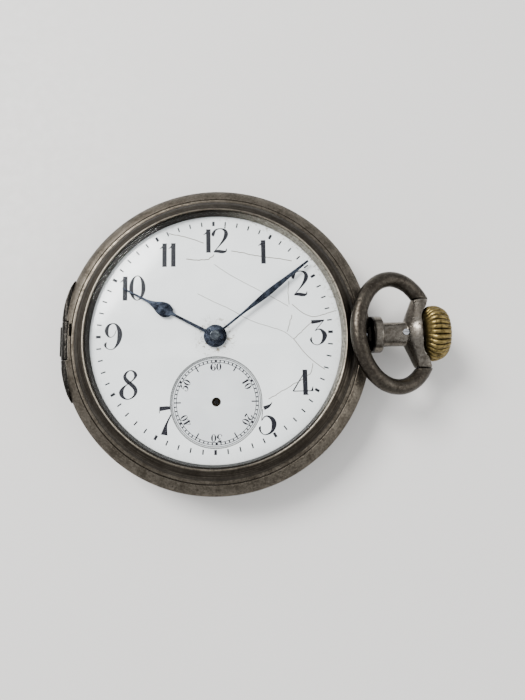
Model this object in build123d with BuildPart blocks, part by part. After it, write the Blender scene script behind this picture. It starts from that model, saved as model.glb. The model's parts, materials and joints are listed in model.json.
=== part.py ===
from build123d import *

import os
from math import atan2, cos, degrees, pi, radians, sin

os.makedirs("parts", exist_ok=True)

# A full-size hunter-cased pocket watch lying on its back, dial up, with its front lid lost.
# Millimetres. +Z is out of the dial, +X runs to the crown at 3 o'clock, +Y runs to 12 o'clock,
# and the origin is the middle of the flat face that the back cover rests on.

# Case
case_radius = 26.0
stem_height = 7.3
case_underside = 5.6
case_bore = 21.6
seat_height = 8.9
ledge_height = 9.3
cover_wall = 0.6
cover_rim = 25.75
cover_top = 5.5
cuvette_wall = 0.4
cuvette_floor = 1.05
cuvette_rim = 23.6
flange_seat = 7.95
channel_inner = 22.4
channel_outer = 23.4

# Dial
dial_radius = 21.35
dial_low = 8.75
dial_top = 9.3
seconds_drop = 10.8
seconds_opening = 7.36
seconds_hole = 0.75

# Pendant, crown and bow
neck_radius = 2.06
collar_radius = 3.1
collar_end = 27.8
ear_width = 5.8
head_axis = 34.6
head_radius = 3.4
ear_radius = 1.45
shoulder_width = 2.0
shoulder_radius = 3.0
stub_radius = 1.6
scoop_x = 44.5
scoop_radius = 10.3
collar_start = 25.4
sleeve_outer = 1.3
screw_x = 31.5
screw_seat = 9.25
pendant_screw_radius = 0.3
bow_pivot_x = 34.7
bow_wire = 1.3
bow_tilt = 20.7
bow_centre = 5.3
bow_long = 7.0
bow_wide = 9.05
pivot_radius = 0.7
crown_radius = 4.72
crown_base = 34.4
crown_middle = 36.5
crown_tip = 39.1
crown_bore_end = 37.6
recess_base = 33.85
recess_depth = 4.85
crown_flutes = 32
stem_radius = 0.6

# Hinges at 9 o'clock: axis (x, z) and barrel radius
lid_hinge = (-24.9, 7.8)
lid_barrel = 1.05
back_hinge = (-25.0, 5.05)
back_barrel = 0.55
cuvette_hinge = (-23.2, 5.0)
cuvette_barrel = 0.5
pin_radius = 0.25
hinge_bore = 0.3

# Movement levels
plate_low = 6.3
plate_top = 8.2
bridge_low = 2.5
bridge_top = 3.9
cock_low = 1.9
cock_top = 2.45
wheel_thickness = 0.2
jewel_radius = 0.6
pivot = 0.16
pivot_play = 0.03

# Arbor places, seen from the dial
centre_arbor = (0.0, 0.0)
fourth_arbor = (0.0, -seconds_drop)
third_arbor = (3.726, -6.161)
escape_arbor = (-5.633, -9.807)
pallet_arbor = (-8.34, -7.92)
balance_arbor = (-11.78, -5.51)
barrel_place = (6.24, 7.44)
crown_wheel_place = (15.655, 0.0)
minute_wheel_place = (3.0, 0.0)
setting_wheel_place = (8.875, 0.0)
lever_pivot = (19.0, 3.4)
yoke_pivot = (13.0, 4.6)
click_place = (-1.6, 13.4)
click_tip = (-0.6, 11.9)
cock_foot = (-7.6, -16.2)
barrel_pillars = ((-16.5, 9.0), (-4.0, 18.4), (11.5, -4.0), (17.6, 8.6))
train_pillars = ((17.0, -9.0), (8.5, -16.8), (-1.0, -18.6))
pillar_places = barrel_pillars + train_pillars + (cock_foot,)
screw_radius = 0.45
centre_radius = 0.45
hour_tube_inner = 0.75
hour_tube_outer = 1.05
staff_radius = 0.3
balance_rim = 5.0
groove_low = 19.8

# Hands
hour_turn = radians(151.2)
minute_turn = radians(38.2)
hour_level = 9.7
minute_level = 10.12
hand_thickness = 0.2
hour_boss = 1.9
minute_boss = 1.5
cap_radius = 0.85
cap_height = 0.23


def around(centre, radius, angle):
    """The point at a radius and an angle in radians about a centre."""
    return (centre[0] + radius * cos(angle), centre[1] + radius * sin(angle))


def rod(x, y, low, high, radius, mode=Mode.ADD):
    """A cylinder along Z from one height to another."""
    with Locations((x, y, (low + high) / 2)):
        Cylinder(radius, high - low, mode=mode)


def rod_x(low, high, radius, mode=Mode.ADD):
    """A cylinder on the stem's axis."""
    with Locations(Location(((low + high) / 2, 0, stem_height), (0, 90, 0))):
        Cylinder(radius, high - low, mode=mode)


def rod_y(axis, low, high, radius, mode=Mode.ADD):
    """A cylinder along Y on a hinge axis (x, z)."""
    with Locations(Location((axis[0], (low + high) / 2, axis[1]), (90, 0, 0))):
        Cylinder(radius, high - low, mode=mode)


def block(x, y, z, mode=Mode.ADD):
    """A box from its lowest to its highest coordinate on each axis."""
    with Locations(((x[0] + x[1]) / 2, (y[0] + y[1]) / 2, (z[0] + z[1]) / 2)):
        Box(x[1] - x[0], y[1] - y[0], z[1] - z[0], mode=mode)


def bearing(start, end):
    """Angle in degrees of the line from one arbor to another."""
    return degrees(atan2(end[1] - start[1], end[0] - start[0]))


def slotted_screw(place, head_low, head_high, head_radius):
    """A movement screw, head down, with its slot cut across the head."""
    rod(*place, head_low, head_high, head_radius)
    rod(*place, head_high, 7.6, screw_radius)
    across = (place[0] - head_radius - 0.1, place[0] + head_radius + 0.1)
    slot = (place[1] - 0.1, place[1] + 0.1)
    block(across, slot, (head_low - 0.1, head_low + 0.15), Mode.SUBTRACT)


def gear_points(centre, teeth, pitch_radius, tooth_angle):
    """Outline of a wheel with slim straight-sided teeth, one of them at tooth_angle."""
    module = 2 * pitch_radius / teeth
    root = pitch_radius - 0.95 * module
    tip = pitch_radius + 0.6 * module
    pitch_angle = 2 * pi / teeth
    points = []
    for tooth in range(teeth):
        middle = radians(tooth_angle) + tooth * pitch_angle
        for radius, share in ((root, -0.24), (tip, -0.09), (tip, 0.09), (root, 0.24)):
            angle = middle + share * pitch_angle
            points.append(around(centre, radius, angle))
    return points


def toothed(centre, teeth, pitch_radius, tooth_angle, low, thickness):
    """A toothed disc added to the current part."""
    with BuildSketch(Plane.XY.offset(low)) as outline:
        with BuildLine():
            Polyline(*gear_points(centre, teeth, pitch_radius, tooth_angle), close=True)
        make_face()
    extrude(outline.sketch, amount=thickness)


def crossings(centre, inner, outer, spokes, low, thickness):
    """Cuts the windows between a wheel's spokes."""
    with BuildSketch(Plane.XY.offset(low)) as windows:
        with Locations(centre):
            Circle(outer)
            Circle(inner, mode=Mode.SUBTRACT)
        for spoke in range(spokes):
            with Locations(Location((centre[0], centre[1]), 360 * spoke / spokes)):
                Rectangle(outer * 1.1, outer * 0.13, align=(Align.MIN, Align.CENTER), mode=Mode.SUBTRACT)
    extrude(windows.sketch, amount=thickness, mode=Mode.SUBTRACT)


# ---------------------------------------------------------------- case

with BuildPart() as case_middle:
    with BuildSketch(Plane.XZ) as band_section:
        with BuildLine():
            Line((case_bore, case_underside), (25.3, case_underside))
            Spline((25.3, case_underside), (25.86, 6.3), (case_radius, stem_height), (25.83, 8.26))
            ThreePointArc((25.83, 8.26), (25.0, 8.9), (24.08, ledge_height))
            Polyline(
                (24.08, ledge_height),
                (23.95, 9.2),
                (23.95, seat_height),
                (22.0, seat_height),
                (22.0, flange_seat),
                (case_bore, flange_seat),
                (case_bore, case_underside),
            )
        make_face()
    revolve(axis=Axis.Z)
    with BuildSketch(Plane.XY.offset(case_underside)) as spring_channel:
        Circle(channel_outer)
        Circle(channel_inner, mode=Mode.SUBTRACT)
    extrude(amount=2.3, mode=Mode.SUBTRACT)
    rod_x(20.0, 27.0, stub_radius, Mode.SUBTRACT)
    rod_y(lid_hinge, -11.5, 11.5, lid_barrel, Mode.SUBTRACT)
    rod_y(lid_hinge, -3.35, 3.35, 1.4, Mode.SUBTRACT)
    block((-24.4, -23.9), (0.6, 2.8), (8.0, 9.4), Mode.SUBTRACT)
    rod_y(back_hinge, -7.5, 7.5, back_barrel, Mode.SUBTRACT)
    rod_y(back_hinge, -2.6, 2.6, back_barrel + 0.1, Mode.SUBTRACT)
    rod_y(cuvette_hinge, -2.1, 2.1, cuvette_barrel + 0.15, Mode.SUBTRACT)
case_middle.part.label = "case_middle"
export_step(case_middle.part, "parts/case_middle.step")

with BuildPart() as bezel:
    with BuildSketch(Plane.XZ) as bezel_section:
        with BuildLine():
            Polyline((20.8, 9.36), (21.15, 10.5), (21.42, 10.5), (21.42, 10.85))
            ThreePointArc((21.42, 10.85), (21.52, 10.95), (21.66, 10.84))
            Line((21.66, 10.84), (22.42, 10.44))
            ThreePointArc((22.42, 10.44), (22.98, 10.02), (23.37, 9.46))
            Polyline((23.37, 9.46), (23.84, 9.4), (23.84, 8.95), (22.05, 8.95))
            Polyline((22.05, 8.95), (22.05, 9.36), (20.8, 9.36))
        make_face()
    revolve(axis=Axis.Z)
bezel.part.label = "bezel"
export_step(bezel.part, "parts/bezel.step")

with BuildPart() as crystal:
    with BuildSketch(Plane.XZ) as lens_section:
        with BuildLine():
            Line((0, 11.25), (0, 11.65))
            TangentArc((0, 11.65), (21.36, 10.87), tangent=(1, 0))
            Line((21.36, 10.87), (21.36, 10.52))
            TangentArc((0, 11.25), (21.36, 10.52), tangent=(1, 0))
        make_face()
    revolve(axis=Axis.Z)
crystal.part.label = "crystal"
export_step(crystal.part, "parts/crystal.step")

with BuildPart() as back_cover:
    with BuildSketch(Plane.XZ) as cover_section:
        with BuildLine():
            Line((0, 0), (18.5, 0))
            Spline((18.5, 0), (23.0, 1.1), (25.2, 3.2), (cover_rim, 4.9), tangents=((1, 0), (0.1, 1)))
            Polyline(
                (cover_rim, 4.9),
                (cover_rim, cover_top),
                (cover_rim - cover_wall, cover_top),
                (cover_rim - cover_wall, 4.9),
            )
            Spline(
                (cover_rim - cover_wall, 4.9),
                (24.6, 3.45),
                (22.65, 1.65),
                (18.4, cover_wall),
                tangents=((-0.1, -1), (-1, 0)),
            )
            Polyline((18.4, cover_wall), (0, cover_wall), (0, 0))
        make_face()
    revolve(axis=Axis.Z)
    block((-26.5, -24.1), (-7.3, 7.3), (4.0, 6.0), Mode.SUBTRACT)
    rod_y(back_hinge, -2.5, 2.5, back_barrel)
    block((-25.2, -24.4), (-2.5, 2.5), (3.4, 4.8))
    rod_y(back_hinge, -3.0, 3.0, hinge_bore, Mode.SUBTRACT)
back_cover.part.label = "back_cover"
export_step(back_cover.part, "parts/back_cover.step")

with BuildPart() as cuvette:
    with BuildSketch(Plane.XZ) as cuvette_section:
        with BuildLine():
            Line((0, cuvette_floor), (18.0, cuvette_floor))
            Spline(
                (18.0, cuvette_floor),
                (21.7, 1.85),
                (23.2, 3.5),
                (cuvette_rim, 4.9),
                tangents=((1, 0), (0.1, 1)),
            )
            Polyline(
                (cuvette_rim, 4.9),
                (cuvette_rim, cover_top),
                (cuvette_rim - cuvette_wall, cover_top),
                (cuvette_rim - cuvette_wall, 4.9),
            )
            Spline(
                (cuvette_rim - cuvette_wall, 4.9),
                (22.8, 3.65),
                (21.4, 2.15),
                (18.0, cuvette_floor + cuvette_wall),
                tangents=((-0.1, -1), (-1, 0)),
            )
            cuvette_inside = cuvette_floor + cuvette_wall
            Polyline((18.0, cuvette_inside), (0, cuvette_inside), (0, cuvette_floor))
        make_face()
    revolve(axis=Axis.Z)
    block((-24.5, -22.4), (-4.8, 4.8), (4.2, 6.0), Mode.SUBTRACT)
    rod_y(cuvette_hinge, -2.0, 2.0, cuvette_barrel)
    block((-23.35, -22.85), (-2.0, 2.0), (4.0, 4.8))
    rod_y(cuvette_hinge, -2.5, 2.5, hinge_bore, Mode.SUBTRACT)
cuvette.part.label = "cuvette"
export_step(cuvette.part, "parts/cuvette.step")

# ---------------------------------------------------------------- hinges

with BuildPart() as lid_hinge_knuckles:
    for side in (-1, 1):
        low, high = sorted((side * 3.3, side * 11.2))
        rod_y(lid_hinge, low, high, lid_barrel)
        rod_y(lid_hinge, low, high, pin_radius, Mode.SUBTRACT)
    rod(0, 0, 0, 15, case_radius + 0.1, Mode.INTERSECT)
lid_hinge_knuckles.part.label = "lid_hinge_knuckles"
export_step(lid_hinge_knuckles.part, "parts/lid_hinge_knuckles.step")

with BuildPart() as lid_hinge_stub:
    rod_y(lid_hinge, -3.25, 3.25, lid_barrel)
    block((-26.2, -25.2), (-2.6, 2.4), (7.35, 8.1))
    rod_y(lid_hinge, -4, 4, hinge_bore, Mode.SUBTRACT)
lid_hinge_stub.part.label = "lid_hinge_stub"
export_step(lid_hinge_stub.part, "parts/lid_hinge_stub.step")

with BuildPart() as lid_hinge_pin:
    rod_y(lid_hinge, -7.5, 7.5, pin_radius)
lid_hinge_pin.part.label = "lid_hinge_pin"
export_step(lid_hinge_pin.part, "parts/lid_hinge_pin.step")

with BuildPart() as back_hinge_knuckles:
    for side in (-1, 1):
        low, high = sorted((side * 2.55, side * 7.1))
        rod_y(back_hinge, low, high, back_barrel)
        rod_y(back_hinge, low, high, pin_radius, Mode.SUBTRACT)
    rod(0, 0, 0, 15, case_radius, Mode.INTERSECT)
back_hinge_knuckles.part.label = "back_hinge_knuckles"
export_step(back_hinge_knuckles.part, "parts/back_hinge_knuckles.step")

with BuildPart() as back_hinge_pin:
    rod_y(back_hinge, -6.5, 6.5, pin_radius)
back_hinge_pin.part.label = "back_hinge_pin"
export_step(back_hinge_pin.part, "parts/back_hinge_pin.step")

with BuildPart() as cuvette_hinge_knuckles:
    for side in (-1, 1):
        low, high = sorted((side * 2.05, side * 4.5))
        rod_y(cuvette_hinge, low, high, cuvette_barrel)
        block((-23.5, -22.9), (low, high), (5.0, case_underside))
        rod_y(cuvette_hinge, low, high, pin_radius, Mode.SUBTRACT)
cuvette_hinge_knuckles.part.label = "cuvette_hinge_knuckles"
export_step(cuvette_hinge_knuckles.part, "parts/cuvette_hinge_knuckles.step")

with BuildPart() as cuvette_hinge_pin:
    rod_y(cuvette_hinge, -4.4, 4.4, pin_radius)
cuvette_hinge_pin.part.label = "cuvette_hinge_pin"
export_step(cuvette_hinge_pin.part, "parts/cuvette_hinge_pin.step")

# ---------------------------------------------------------------- lid springs in the case channel

with BuildPart() as lid_lock_spring:
    with BuildSketch(Plane.XY.offset(6.4)) as lock_strip:
        with BuildLine():
            CenterArc((0, 0), 22.9, -70, 64)
        trace(line_width=0.4)
    extrude(amount=1.3)
lid_lock_spring.part.label = "lid_lock_spring"
export_step(lid_lock_spring.part, "parts/lid_lock_spring.step")

with BuildPart() as lid_fly_spring:
    with BuildSketch(Plane.XY.offset(6.0)) as fly_strip:
        with BuildLine():
            CenterArc((0, 0), 22.9, 120, 52)
        trace(line_width=0.4)
    extrude(amount=1.3)
lid_fly_spring.part.label = "lid_fly_spring"
export_step(lid_fly_spring.part, "parts/lid_fly_spring.step")

# ---------------------------------------------------------------- pendant, bow, crown

with BuildPart() as pendant:
    with BuildSketch(Plane.XY.offset(stem_height)) as head_section:
        with BuildLine():
            Line((head_axis, -ear_width), (head_axis, ear_width))
            Line((head_axis, ear_width), (head_axis - ear_radius, ear_width))
            Line((head_axis - ear_radius, ear_width), (head_axis - shoulder_radius, shoulder_width))
            Spline(
                (head_axis - shoulder_radius, shoulder_width),
                (head_axis - head_radius, 0),
                (head_axis - shoulder_radius, -shoulder_width),
                tangents=((-0.5, -1), (0.5, -1)),
            )
            Line((head_axis - shoulder_radius, -shoulder_width), (head_axis - ear_radius, -ear_width))
            Line((head_axis - ear_radius, -ear_width), (head_axis, -ear_width))
        make_face()
    revolve(axis=Axis((head_axis, 0, stem_height), (0, 1, 0)))
    with Locations((scoop_x, 0, stem_height)):
        Cylinder(scoop_radius, 12, mode=Mode.SUBTRACT)
    rod_x(collar_start, head_axis - 2, neck_radius)
    rod_x(collar_start, collar_end, collar_radius)
    round_edges = pendant.edges().filter_by(GeomType.CIRCLE)
    fillet(round_edges.filter_by(lambda edge: abs(edge.radius - collar_radius) < 0.01), 0.3)
    rod(0, 0, 0, case_underside, case_radius - 0.05, Mode.SUBTRACT)
    rod(0, 0, 8.3, 12, case_radius + 0.1, Mode.SUBTRACT)
    with BuildSketch(Plane.XZ) as crown_recess:
        with BuildLine():
            Line((recess_base, stem_height), (recess_base, stem_height + 2.5))
            Spline(
                (recess_base, stem_height + 2.5),
                (recess_base + 0.85, stem_height + 4.4),
                (recess_base + 2.15, stem_height + recess_depth),
            )
            Polyline(
                (recess_base + 2.15, stem_height + recess_depth),
                (crown_tip, stem_height + recess_depth),
                (crown_tip, stem_height),
                (recess_base, stem_height),
            )
        make_face()
    revolve(axis=Axis((0, 0, stem_height), (1, 0, 0)), mode=Mode.SUBTRACT)
    rod_x(23.0, crown_tip, stem_radius + 0.15, Mode.SUBTRACT)
    rod_x(26.5, crown_tip, sleeve_outer, Mode.SUBTRACT)
    rod_y((bow_pivot_x, stem_height), -7, 7, pivot_radius + 0.05, Mode.SUBTRACT)
    rod(screw_x, 0, stem_height, 12, pendant_screw_radius, Mode.SUBTRACT)
    rod(screw_x, 0, screw_seat, 12, 0.55, Mode.SUBTRACT)
    add(case_middle.part, mode=Mode.SUBTRACT)
pendant.part.label = "pendant"
export_step(pendant.part, "parts/pendant.step")

with BuildPart() as pendant_screw:
    rod(screw_x, 0, stem_height + sleeve_outer, screw_seat, pendant_screw_radius)
    rod(screw_x, 0, screw_seat, screw_seat + 0.3, 0.5)
    slot_depth = (screw_seat + 0.17, screw_seat + 0.35)
    block((screw_x - 0.6, screw_x + 0.6), (-0.08, 0.08), slot_depth, Mode.SUBTRACT)
pendant_screw.part.label = "pendant_screw"
export_step(pendant_screw.part, "parts/pendant_screw.step")

with BuildPart() as pendant_sleeve:
    rod_x(26.5, recess_base - 0.05, sleeve_outer)
    rod_x(26.0, recess_base + 0.15, stem_radius + 0.15, Mode.SUBTRACT)
pendant_sleeve.part.label = "pendant_sleeve"
export_step(pendant_sleeve.part, "parts/pendant_sleeve.step")

tilt_cos = cos(radians(bow_tilt))
tilt_sin = sin(radians(bow_tilt))
bow_plane = Plane(
    origin=(bow_pivot_x, 0, stem_height),
    x_dir=(-tilt_cos, 0, tilt_sin),
    z_dir=(-tilt_sin, 0, -tilt_cos),
)
with BuildPart() as bow:
    with BuildLine(bow_plane) as bow_path:
        EllipticalCenterArc((bow_centre, 0), bow_long, bow_wide, start_angle=-152, arc_size=304)
    with BuildSketch(Plane(origin=bow_path.line @ 0, z_dir=bow_path.line % 0)):
        Circle(bow_wire)
    sweep()
    inner_face = ear_width + 0.08
    block((bow_pivot_x - 4, bow_pivot_x + 4), (-inner_face, inner_face), (2, 13), Mode.SUBTRACT)
    pivot_axis = (bow_pivot_x, stem_height)
    for side in (-1, 1):
        low, high = sorted((side * 4.98, side * 6.4))
        rod_y(pivot_axis, low, high, pivot_radius)
bow.part.label = "bow"
export_step(bow.part, "parts/bow.step")

with BuildPart() as crown:
    with BuildSketch(Plane.XZ) as crown_section:
        with BuildLine():
            Line((crown_base, stem_height), (crown_base, stem_height + 2.4))
            Spline(
                (crown_base, stem_height + 2.4),
                (crown_base + 0.75, stem_height + 4.2),
                (crown_middle, stem_height + crown_radius),
                (crown_tip - 1.2, stem_height + 4.2),
                (crown_tip - 0.35, stem_height + 2.6),
                (crown_tip, stem_height),
                tangents=((0.25, 1), (0, -1)),
            )
            Line((crown_tip, stem_height), (crown_base, stem_height))
        make_face()
    revolve(axis=Axis((0, 0, stem_height), (1, 0, 0)))
    flute_steps = crown_flutes * 6
    flute_points = []
    for step in range(flute_steps):
        angle = 2 * pi * step / flute_steps
        reach = crown_radius - 0.14 * (1 - cos(crown_flutes * angle))
        flute_points.append((reach * cos(angle), stem_height + reach * sin(angle)))
    with BuildSketch(Plane.YZ.offset(crown_base - 1)) as flutes:
        with BuildLine():
            Polyline(*flute_points, close=True)
        make_face()
    extrude(amount=crown_tip - crown_base + 2, mode=Mode.INTERSECT)
    rod_x(crown_base - 1, crown_bore_end, stem_radius, Mode.SUBTRACT)
crown.part.label = "crown"
export_step(crown.part, "parts/crown.step")

with BuildPart() as stem:
    rod_x(12.6, 14.0, 0.4)
    rod_x(14.0, 19.5, 0.55)
    rod_x(19.5, crown_bore_end, stem_radius)
    with BuildSketch(Plane.YZ.offset(groove_low)) as groove:
        with Locations((0, stem_height)):
            Circle(stem_radius + 0.2)
            Circle(0.4, mode=Mode.SUBTRACT)
    extrude(amount=0.7, mode=Mode.SUBTRACT)
stem.part.label = "stem"
export_step(stem.part, "parts/stem.step")

with BuildPart() as winding_pinion:
    with BuildSketch(Plane.YZ.offset(17.5)) as pinion_outline:
        with BuildLine():
            Polyline(*gear_points((0, stem_height), 18, 1.22, 90), close=True)
        make_face()
    extrude(amount=1.2)
    rod_x(17.0, 19.0, 0.6, Mode.SUBTRACT)
winding_pinion.part.label = "winding_pinion"
export_step(winding_pinion.part, "parts/winding_pinion.step")

with BuildPart() as sliding_clutch:
    rod_x(14.3, 17.2, 1.25)
    with BuildSketch(Plane.YZ.offset(15.2)) as clutch_groove:
        with Locations((0, stem_height)):
            Circle(1.4)
            Circle(0.8, mode=Mode.SUBTRACT)
    extrude(amount=0.8, mode=Mode.SUBTRACT)
    rod_x(14.0, 18.0, 0.6, Mode.SUBTRACT)
sliding_clutch.part.label = "sliding_clutch"
export_step(sliding_clutch.part, "parts/sliding_clutch.step")

# ---------------------------------------------------------------- dial and hands

with BuildPart() as dial:
    rod(0, 0, dial_low, dial_top, dial_radius)
    rod(0, -seconds_drop, 8, 10, seconds_opening, Mode.SUBTRACT)
    rod(0, 0, 8, 10, 1.3, Mode.SUBTRACT)
dial.part.label = "dial"
export_step(dial.part, "parts/dial.step")

with BuildPart() as seconds_dial:
    rod(0, -seconds_drop, 8.5, 9.05, seconds_opening)
    rod(0, -seconds_drop, 8, 10, seconds_hole, Mode.SUBTRACT)
seconds_dial.part.label = "seconds_dial"
export_step(seconds_dial.part, "parts/seconds_dial.step")


with BuildPart() as hour_hand:
    hour_direction = (cos(hour_turn), sin(hour_turn), 0)
    hour_plane = Plane(origin=(0, 0, hour_level), x_dir=hour_direction, z_dir=(0, 0, 1))
    with BuildSketch(hour_plane) as hour_outline:
        with BuildLine():
            Line((0.5, 0.28), (7.9, 0.26))
            Spline((7.9, 0.26), (8.35, 0.78), (9.3, 1.24), (10.4, 1.08), (11.5, 0.58), (12.9, 0.22))
            Polyline((12.9, 0.22), (17.6, 0.12), (17.6, -0.12), (12.9, -0.22))
            Spline((12.9, -0.22), (11.5, -0.58), (10.4, -1.08), (9.3, -1.24), (8.35, -0.78), (7.9, -0.26))
            Polyline((7.9, -0.26), (0.5, -0.28), (0.5, 0.28))
        make_face()
        Circle(hour_boss)
        Circle(hour_tube_outer, mode=Mode.SUBTRACT)
    extrude(amount=hand_thickness)
hour_hand.part.label = "hour_hand"
export_step(hour_hand.part, "parts/hour_hand.step")

with BuildPart() as minute_hand:
    minute_direction = (cos(minute_turn), sin(minute_turn), 0)
    minute_plane = Plane(origin=(0, 0, minute_level), x_dir=minute_direction, z_dir=(0, 0, 1))
    with BuildSketch(minute_plane) as minute_outline:
        with BuildLine():
            Line((0.5, 0.2), (6.0, 0.2))
            Spline((6.0, 0.2), (8.6, 0.38), (10.9, 0.52), (13.0, 0.48), (16.2, 0.31), (20.0, 0.18))
            Line((20.0, 0.18), (20.0, -0.18))
            Spline((20.0, -0.18), (16.2, -0.31), (13.0, -0.48), (10.9, -0.52), (8.6, -0.38), (6.0, -0.2))
            Polyline((6.0, -0.2), (0.5, -0.2), (0.5, 0.2))
        make_face()
        Circle(minute_boss)
        Circle(centre_radius, mode=Mode.SUBTRACT)
    extrude(amount=hand_thickness)
minute_hand.part.label = "minute_hand"
export_step(minute_hand.part, "parts/minute_hand.step")

with BuildPart() as hand_cap:
    cap_low = minute_level + hand_thickness
    rod(0, 0, cap_low, cap_low + cap_height, cap_radius)
    fillet(hand_cap.edges().group_by(Axis.Z)[-1], radius=0.12)
    rod(0, 0, 10.0, 10.4, centre_radius, Mode.SUBTRACT)
hand_cap.part.label = "hand_cap"
export_step(hand_cap.part, "parts/hand_cap.step")

with BuildPart() as cannon_pinion:
    toothed(centre_arbor, 12, 0.75, bearing(centre_arbor, minute_wheel_place) + 15, 8.23, 0.22)
    rod(0, 0, 8.23, 10.12, 0.68)
    rod(0, 0, 8, 11, centre_radius, Mode.SUBTRACT)
cannon_pinion.part.label = "cannon_pinion"
export_step(cannon_pinion.part, "parts/cannon_pinion.step")

with BuildPart() as hour_wheel:
    toothed(centre_arbor, 40, 2.4, bearing(centre_arbor, minute_wheel_place), 8.5, 0.14)
    rod(0, 0, 8.5, 9.9, hour_tube_outer)
    rod(0, 0, 8, 11, hour_tube_inner, Mode.SUBTRACT)
hour_wheel.part.label = "hour_wheel"
export_step(hour_wheel.part, "parts/hour_wheel.step")

with BuildPart() as minute_wheel:
    toothed(minute_wheel_place, 36, 2.25, bearing(minute_wheel_place, centre_arbor), 8.25, 0.17)
    toothed(minute_wheel_place, 10, 0.6, bearing(minute_wheel_place, centre_arbor) + 18, 8.42, 0.24)
    rod(3.0, 0, 8, 9, 0.27, Mode.SUBTRACT)
minute_wheel.part.label = "minute_wheel"
export_step(minute_wheel.part, "parts/minute_wheel.step")

with BuildPart() as setting_wheel:
    toothed(
        setting_wheel_place,
        58,
        3.625,
        bearing(setting_wheel_place, minute_wheel_place) + 180 / 58,
        8.25,
        0.17,
    )
    crossings(setting_wheel_place, 1.0, 2.9, 4, 8.2, 0.3)
    rod(setting_wheel_place[0], 0, 8, 9, 0.27, Mode.SUBTRACT)
setting_wheel.part.label = "setting_wheel"
export_step(setting_wheel.part, "parts/setting_wheel.step")

# ---------------------------------------------------------------- movement frame

jewelled = (third_arbor, fourth_arbor, escape_arbor)

with BuildPart() as main_plate:
    rod(0, 0, plate_low, plate_top, 21.5)
    rod(0, 0, flange_seat + 0.05, plate_top, 21.9)
    rod(0, 0, plate_low, plate_top, centre_radius + 0.05, Mode.SUBTRACT)
    rod(*barrel_place, plate_low, 7.2, 0.8, Mode.SUBTRACT)
    for place in jewelled + (balance_arbor, pallet_arbor):
        rod(*place, plate_low, plate_low + 0.4, jewel_radius, Mode.SUBTRACT)
        rod(*place, plate_low, plate_top, 0.33, Mode.SUBTRACT)
    block((12.4, 19.0), (-1.5, 1.5), (plate_low, plate_top), Mode.SUBTRACT)
    block((19.6, 22.0), (-0.75, 0.75), (stem_height, plate_top), Mode.SUBTRACT)
    rod_x(12.0, 22.0, 0.65, Mode.SUBTRACT)
    for place in pillar_places:
        rod(*place, plate_low, 7.6, screw_radius, Mode.SUBTRACT)
    for place in (minute_wheel_place, setting_wheel_place):
        rod(*place, plate_top, 8.5, 0.25)
    for place in (lever_pivot, yoke_pivot):
        rod(*place, plate_top, 8.45, 0.35)
main_plate.part.label = "main_plate"
export_step(main_plate.part, "parts/main_plate.step")


def bridge_plate(corners):
    """The flat of a bridge: an outline of straight cuts kept inside the movement's round."""
    with BuildSketch(Plane.XY.offset(bridge_low)) as flat:
        with BuildLine():
            Polyline(*corners, close=True)
        make_face()
        Circle(20.6, mode=Mode.INTERSECT)
    extrude(flat.sketch, amount=bridge_top - bridge_low)


with BuildPart() as barrel_bridge:
    bridge_plate(((-22, 5.3), (-4.5, 2.8), (3.0, -2.6), (10.5, -5.3), (22, -5.3), (22, 22), (-22, 22)))
    for place in barrel_pillars:
        rod(*place, bridge_top, plate_low, 1.2)
        rod(*place, bridge_low, plate_low, screw_radius, Mode.SUBTRACT)
    rod(0, 0, bridge_low, bridge_top, 0.3, Mode.SUBTRACT)
    rod(0, 0, 3.5, bridge_top, jewel_radius, Mode.SUBTRACT)
    rod(*barrel_place, bridge_low, bridge_top, 1.05, Mode.SUBTRACT)
    rod(*crown_wheel_place, bridge_low, bridge_top, 1.6, Mode.SUBTRACT)
    rod(*click_place, bridge_low, 3.2, 0.3, Mode.SUBTRACT)
barrel_bridge.part.label = "barrel_bridge"
export_step(barrel_bridge.part, "parts/barrel_bridge.step")

with BuildPart() as train_bridge:
    bridge_plate(
        (
            (-3.6, 1.6),
            (3.2, -3.2),
            (10.6, -5.9),
            (22, -5.9),
            (22, -22),
            (-3.4, -22),
            (-3.4, -16.5),
            (-7.3, -10.9),
            (-7.2, -8.6),
        )
    )
    rod(*balance_arbor, bridge_low, bridge_top, 6.3, Mode.SUBTRACT)
    rod(*cock_foot, bridge_low, bridge_top, 3.4, Mode.SUBTRACT)
    for place in train_pillars:
        rod(*place, bridge_top, plate_low, 1.2)
        rod(*place, bridge_low, plate_low, screw_radius, Mode.SUBTRACT)
    for place in jewelled:
        rod(*place, bridge_low, bridge_top, 0.33, Mode.SUBTRACT)
        rod(*place, 3.5, bridge_top, jewel_radius, Mode.SUBTRACT)
train_bridge.part.label = "train_bridge"
export_step(train_bridge.part, "parts/train_bridge.step")

with BuildPart() as balance_cock:
    with BuildSketch(Plane.XY.offset(cock_low)) as cock_outline:
        with Locations(balance_arbor):
            Circle(2.6)
        with Locations(cock_foot):
            Circle(3.0)
        make_hull()
    extrude(amount=cock_top - cock_low)
    rod(*cock_foot, cock_top, plate_low, 3.0)
    rod(*balance_arbor, cock_low, cock_top, 0.3, Mode.SUBTRACT)
    rod(*balance_arbor, cock_top - 0.35, cock_top, jewel_radius, Mode.SUBTRACT)
    rod(*cock_foot, cock_low, plate_low, screw_radius, Mode.SUBTRACT)
balance_cock.part.label = "balance_cock"
export_step(balance_cock.part, "parts/balance_cock.step")

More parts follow.
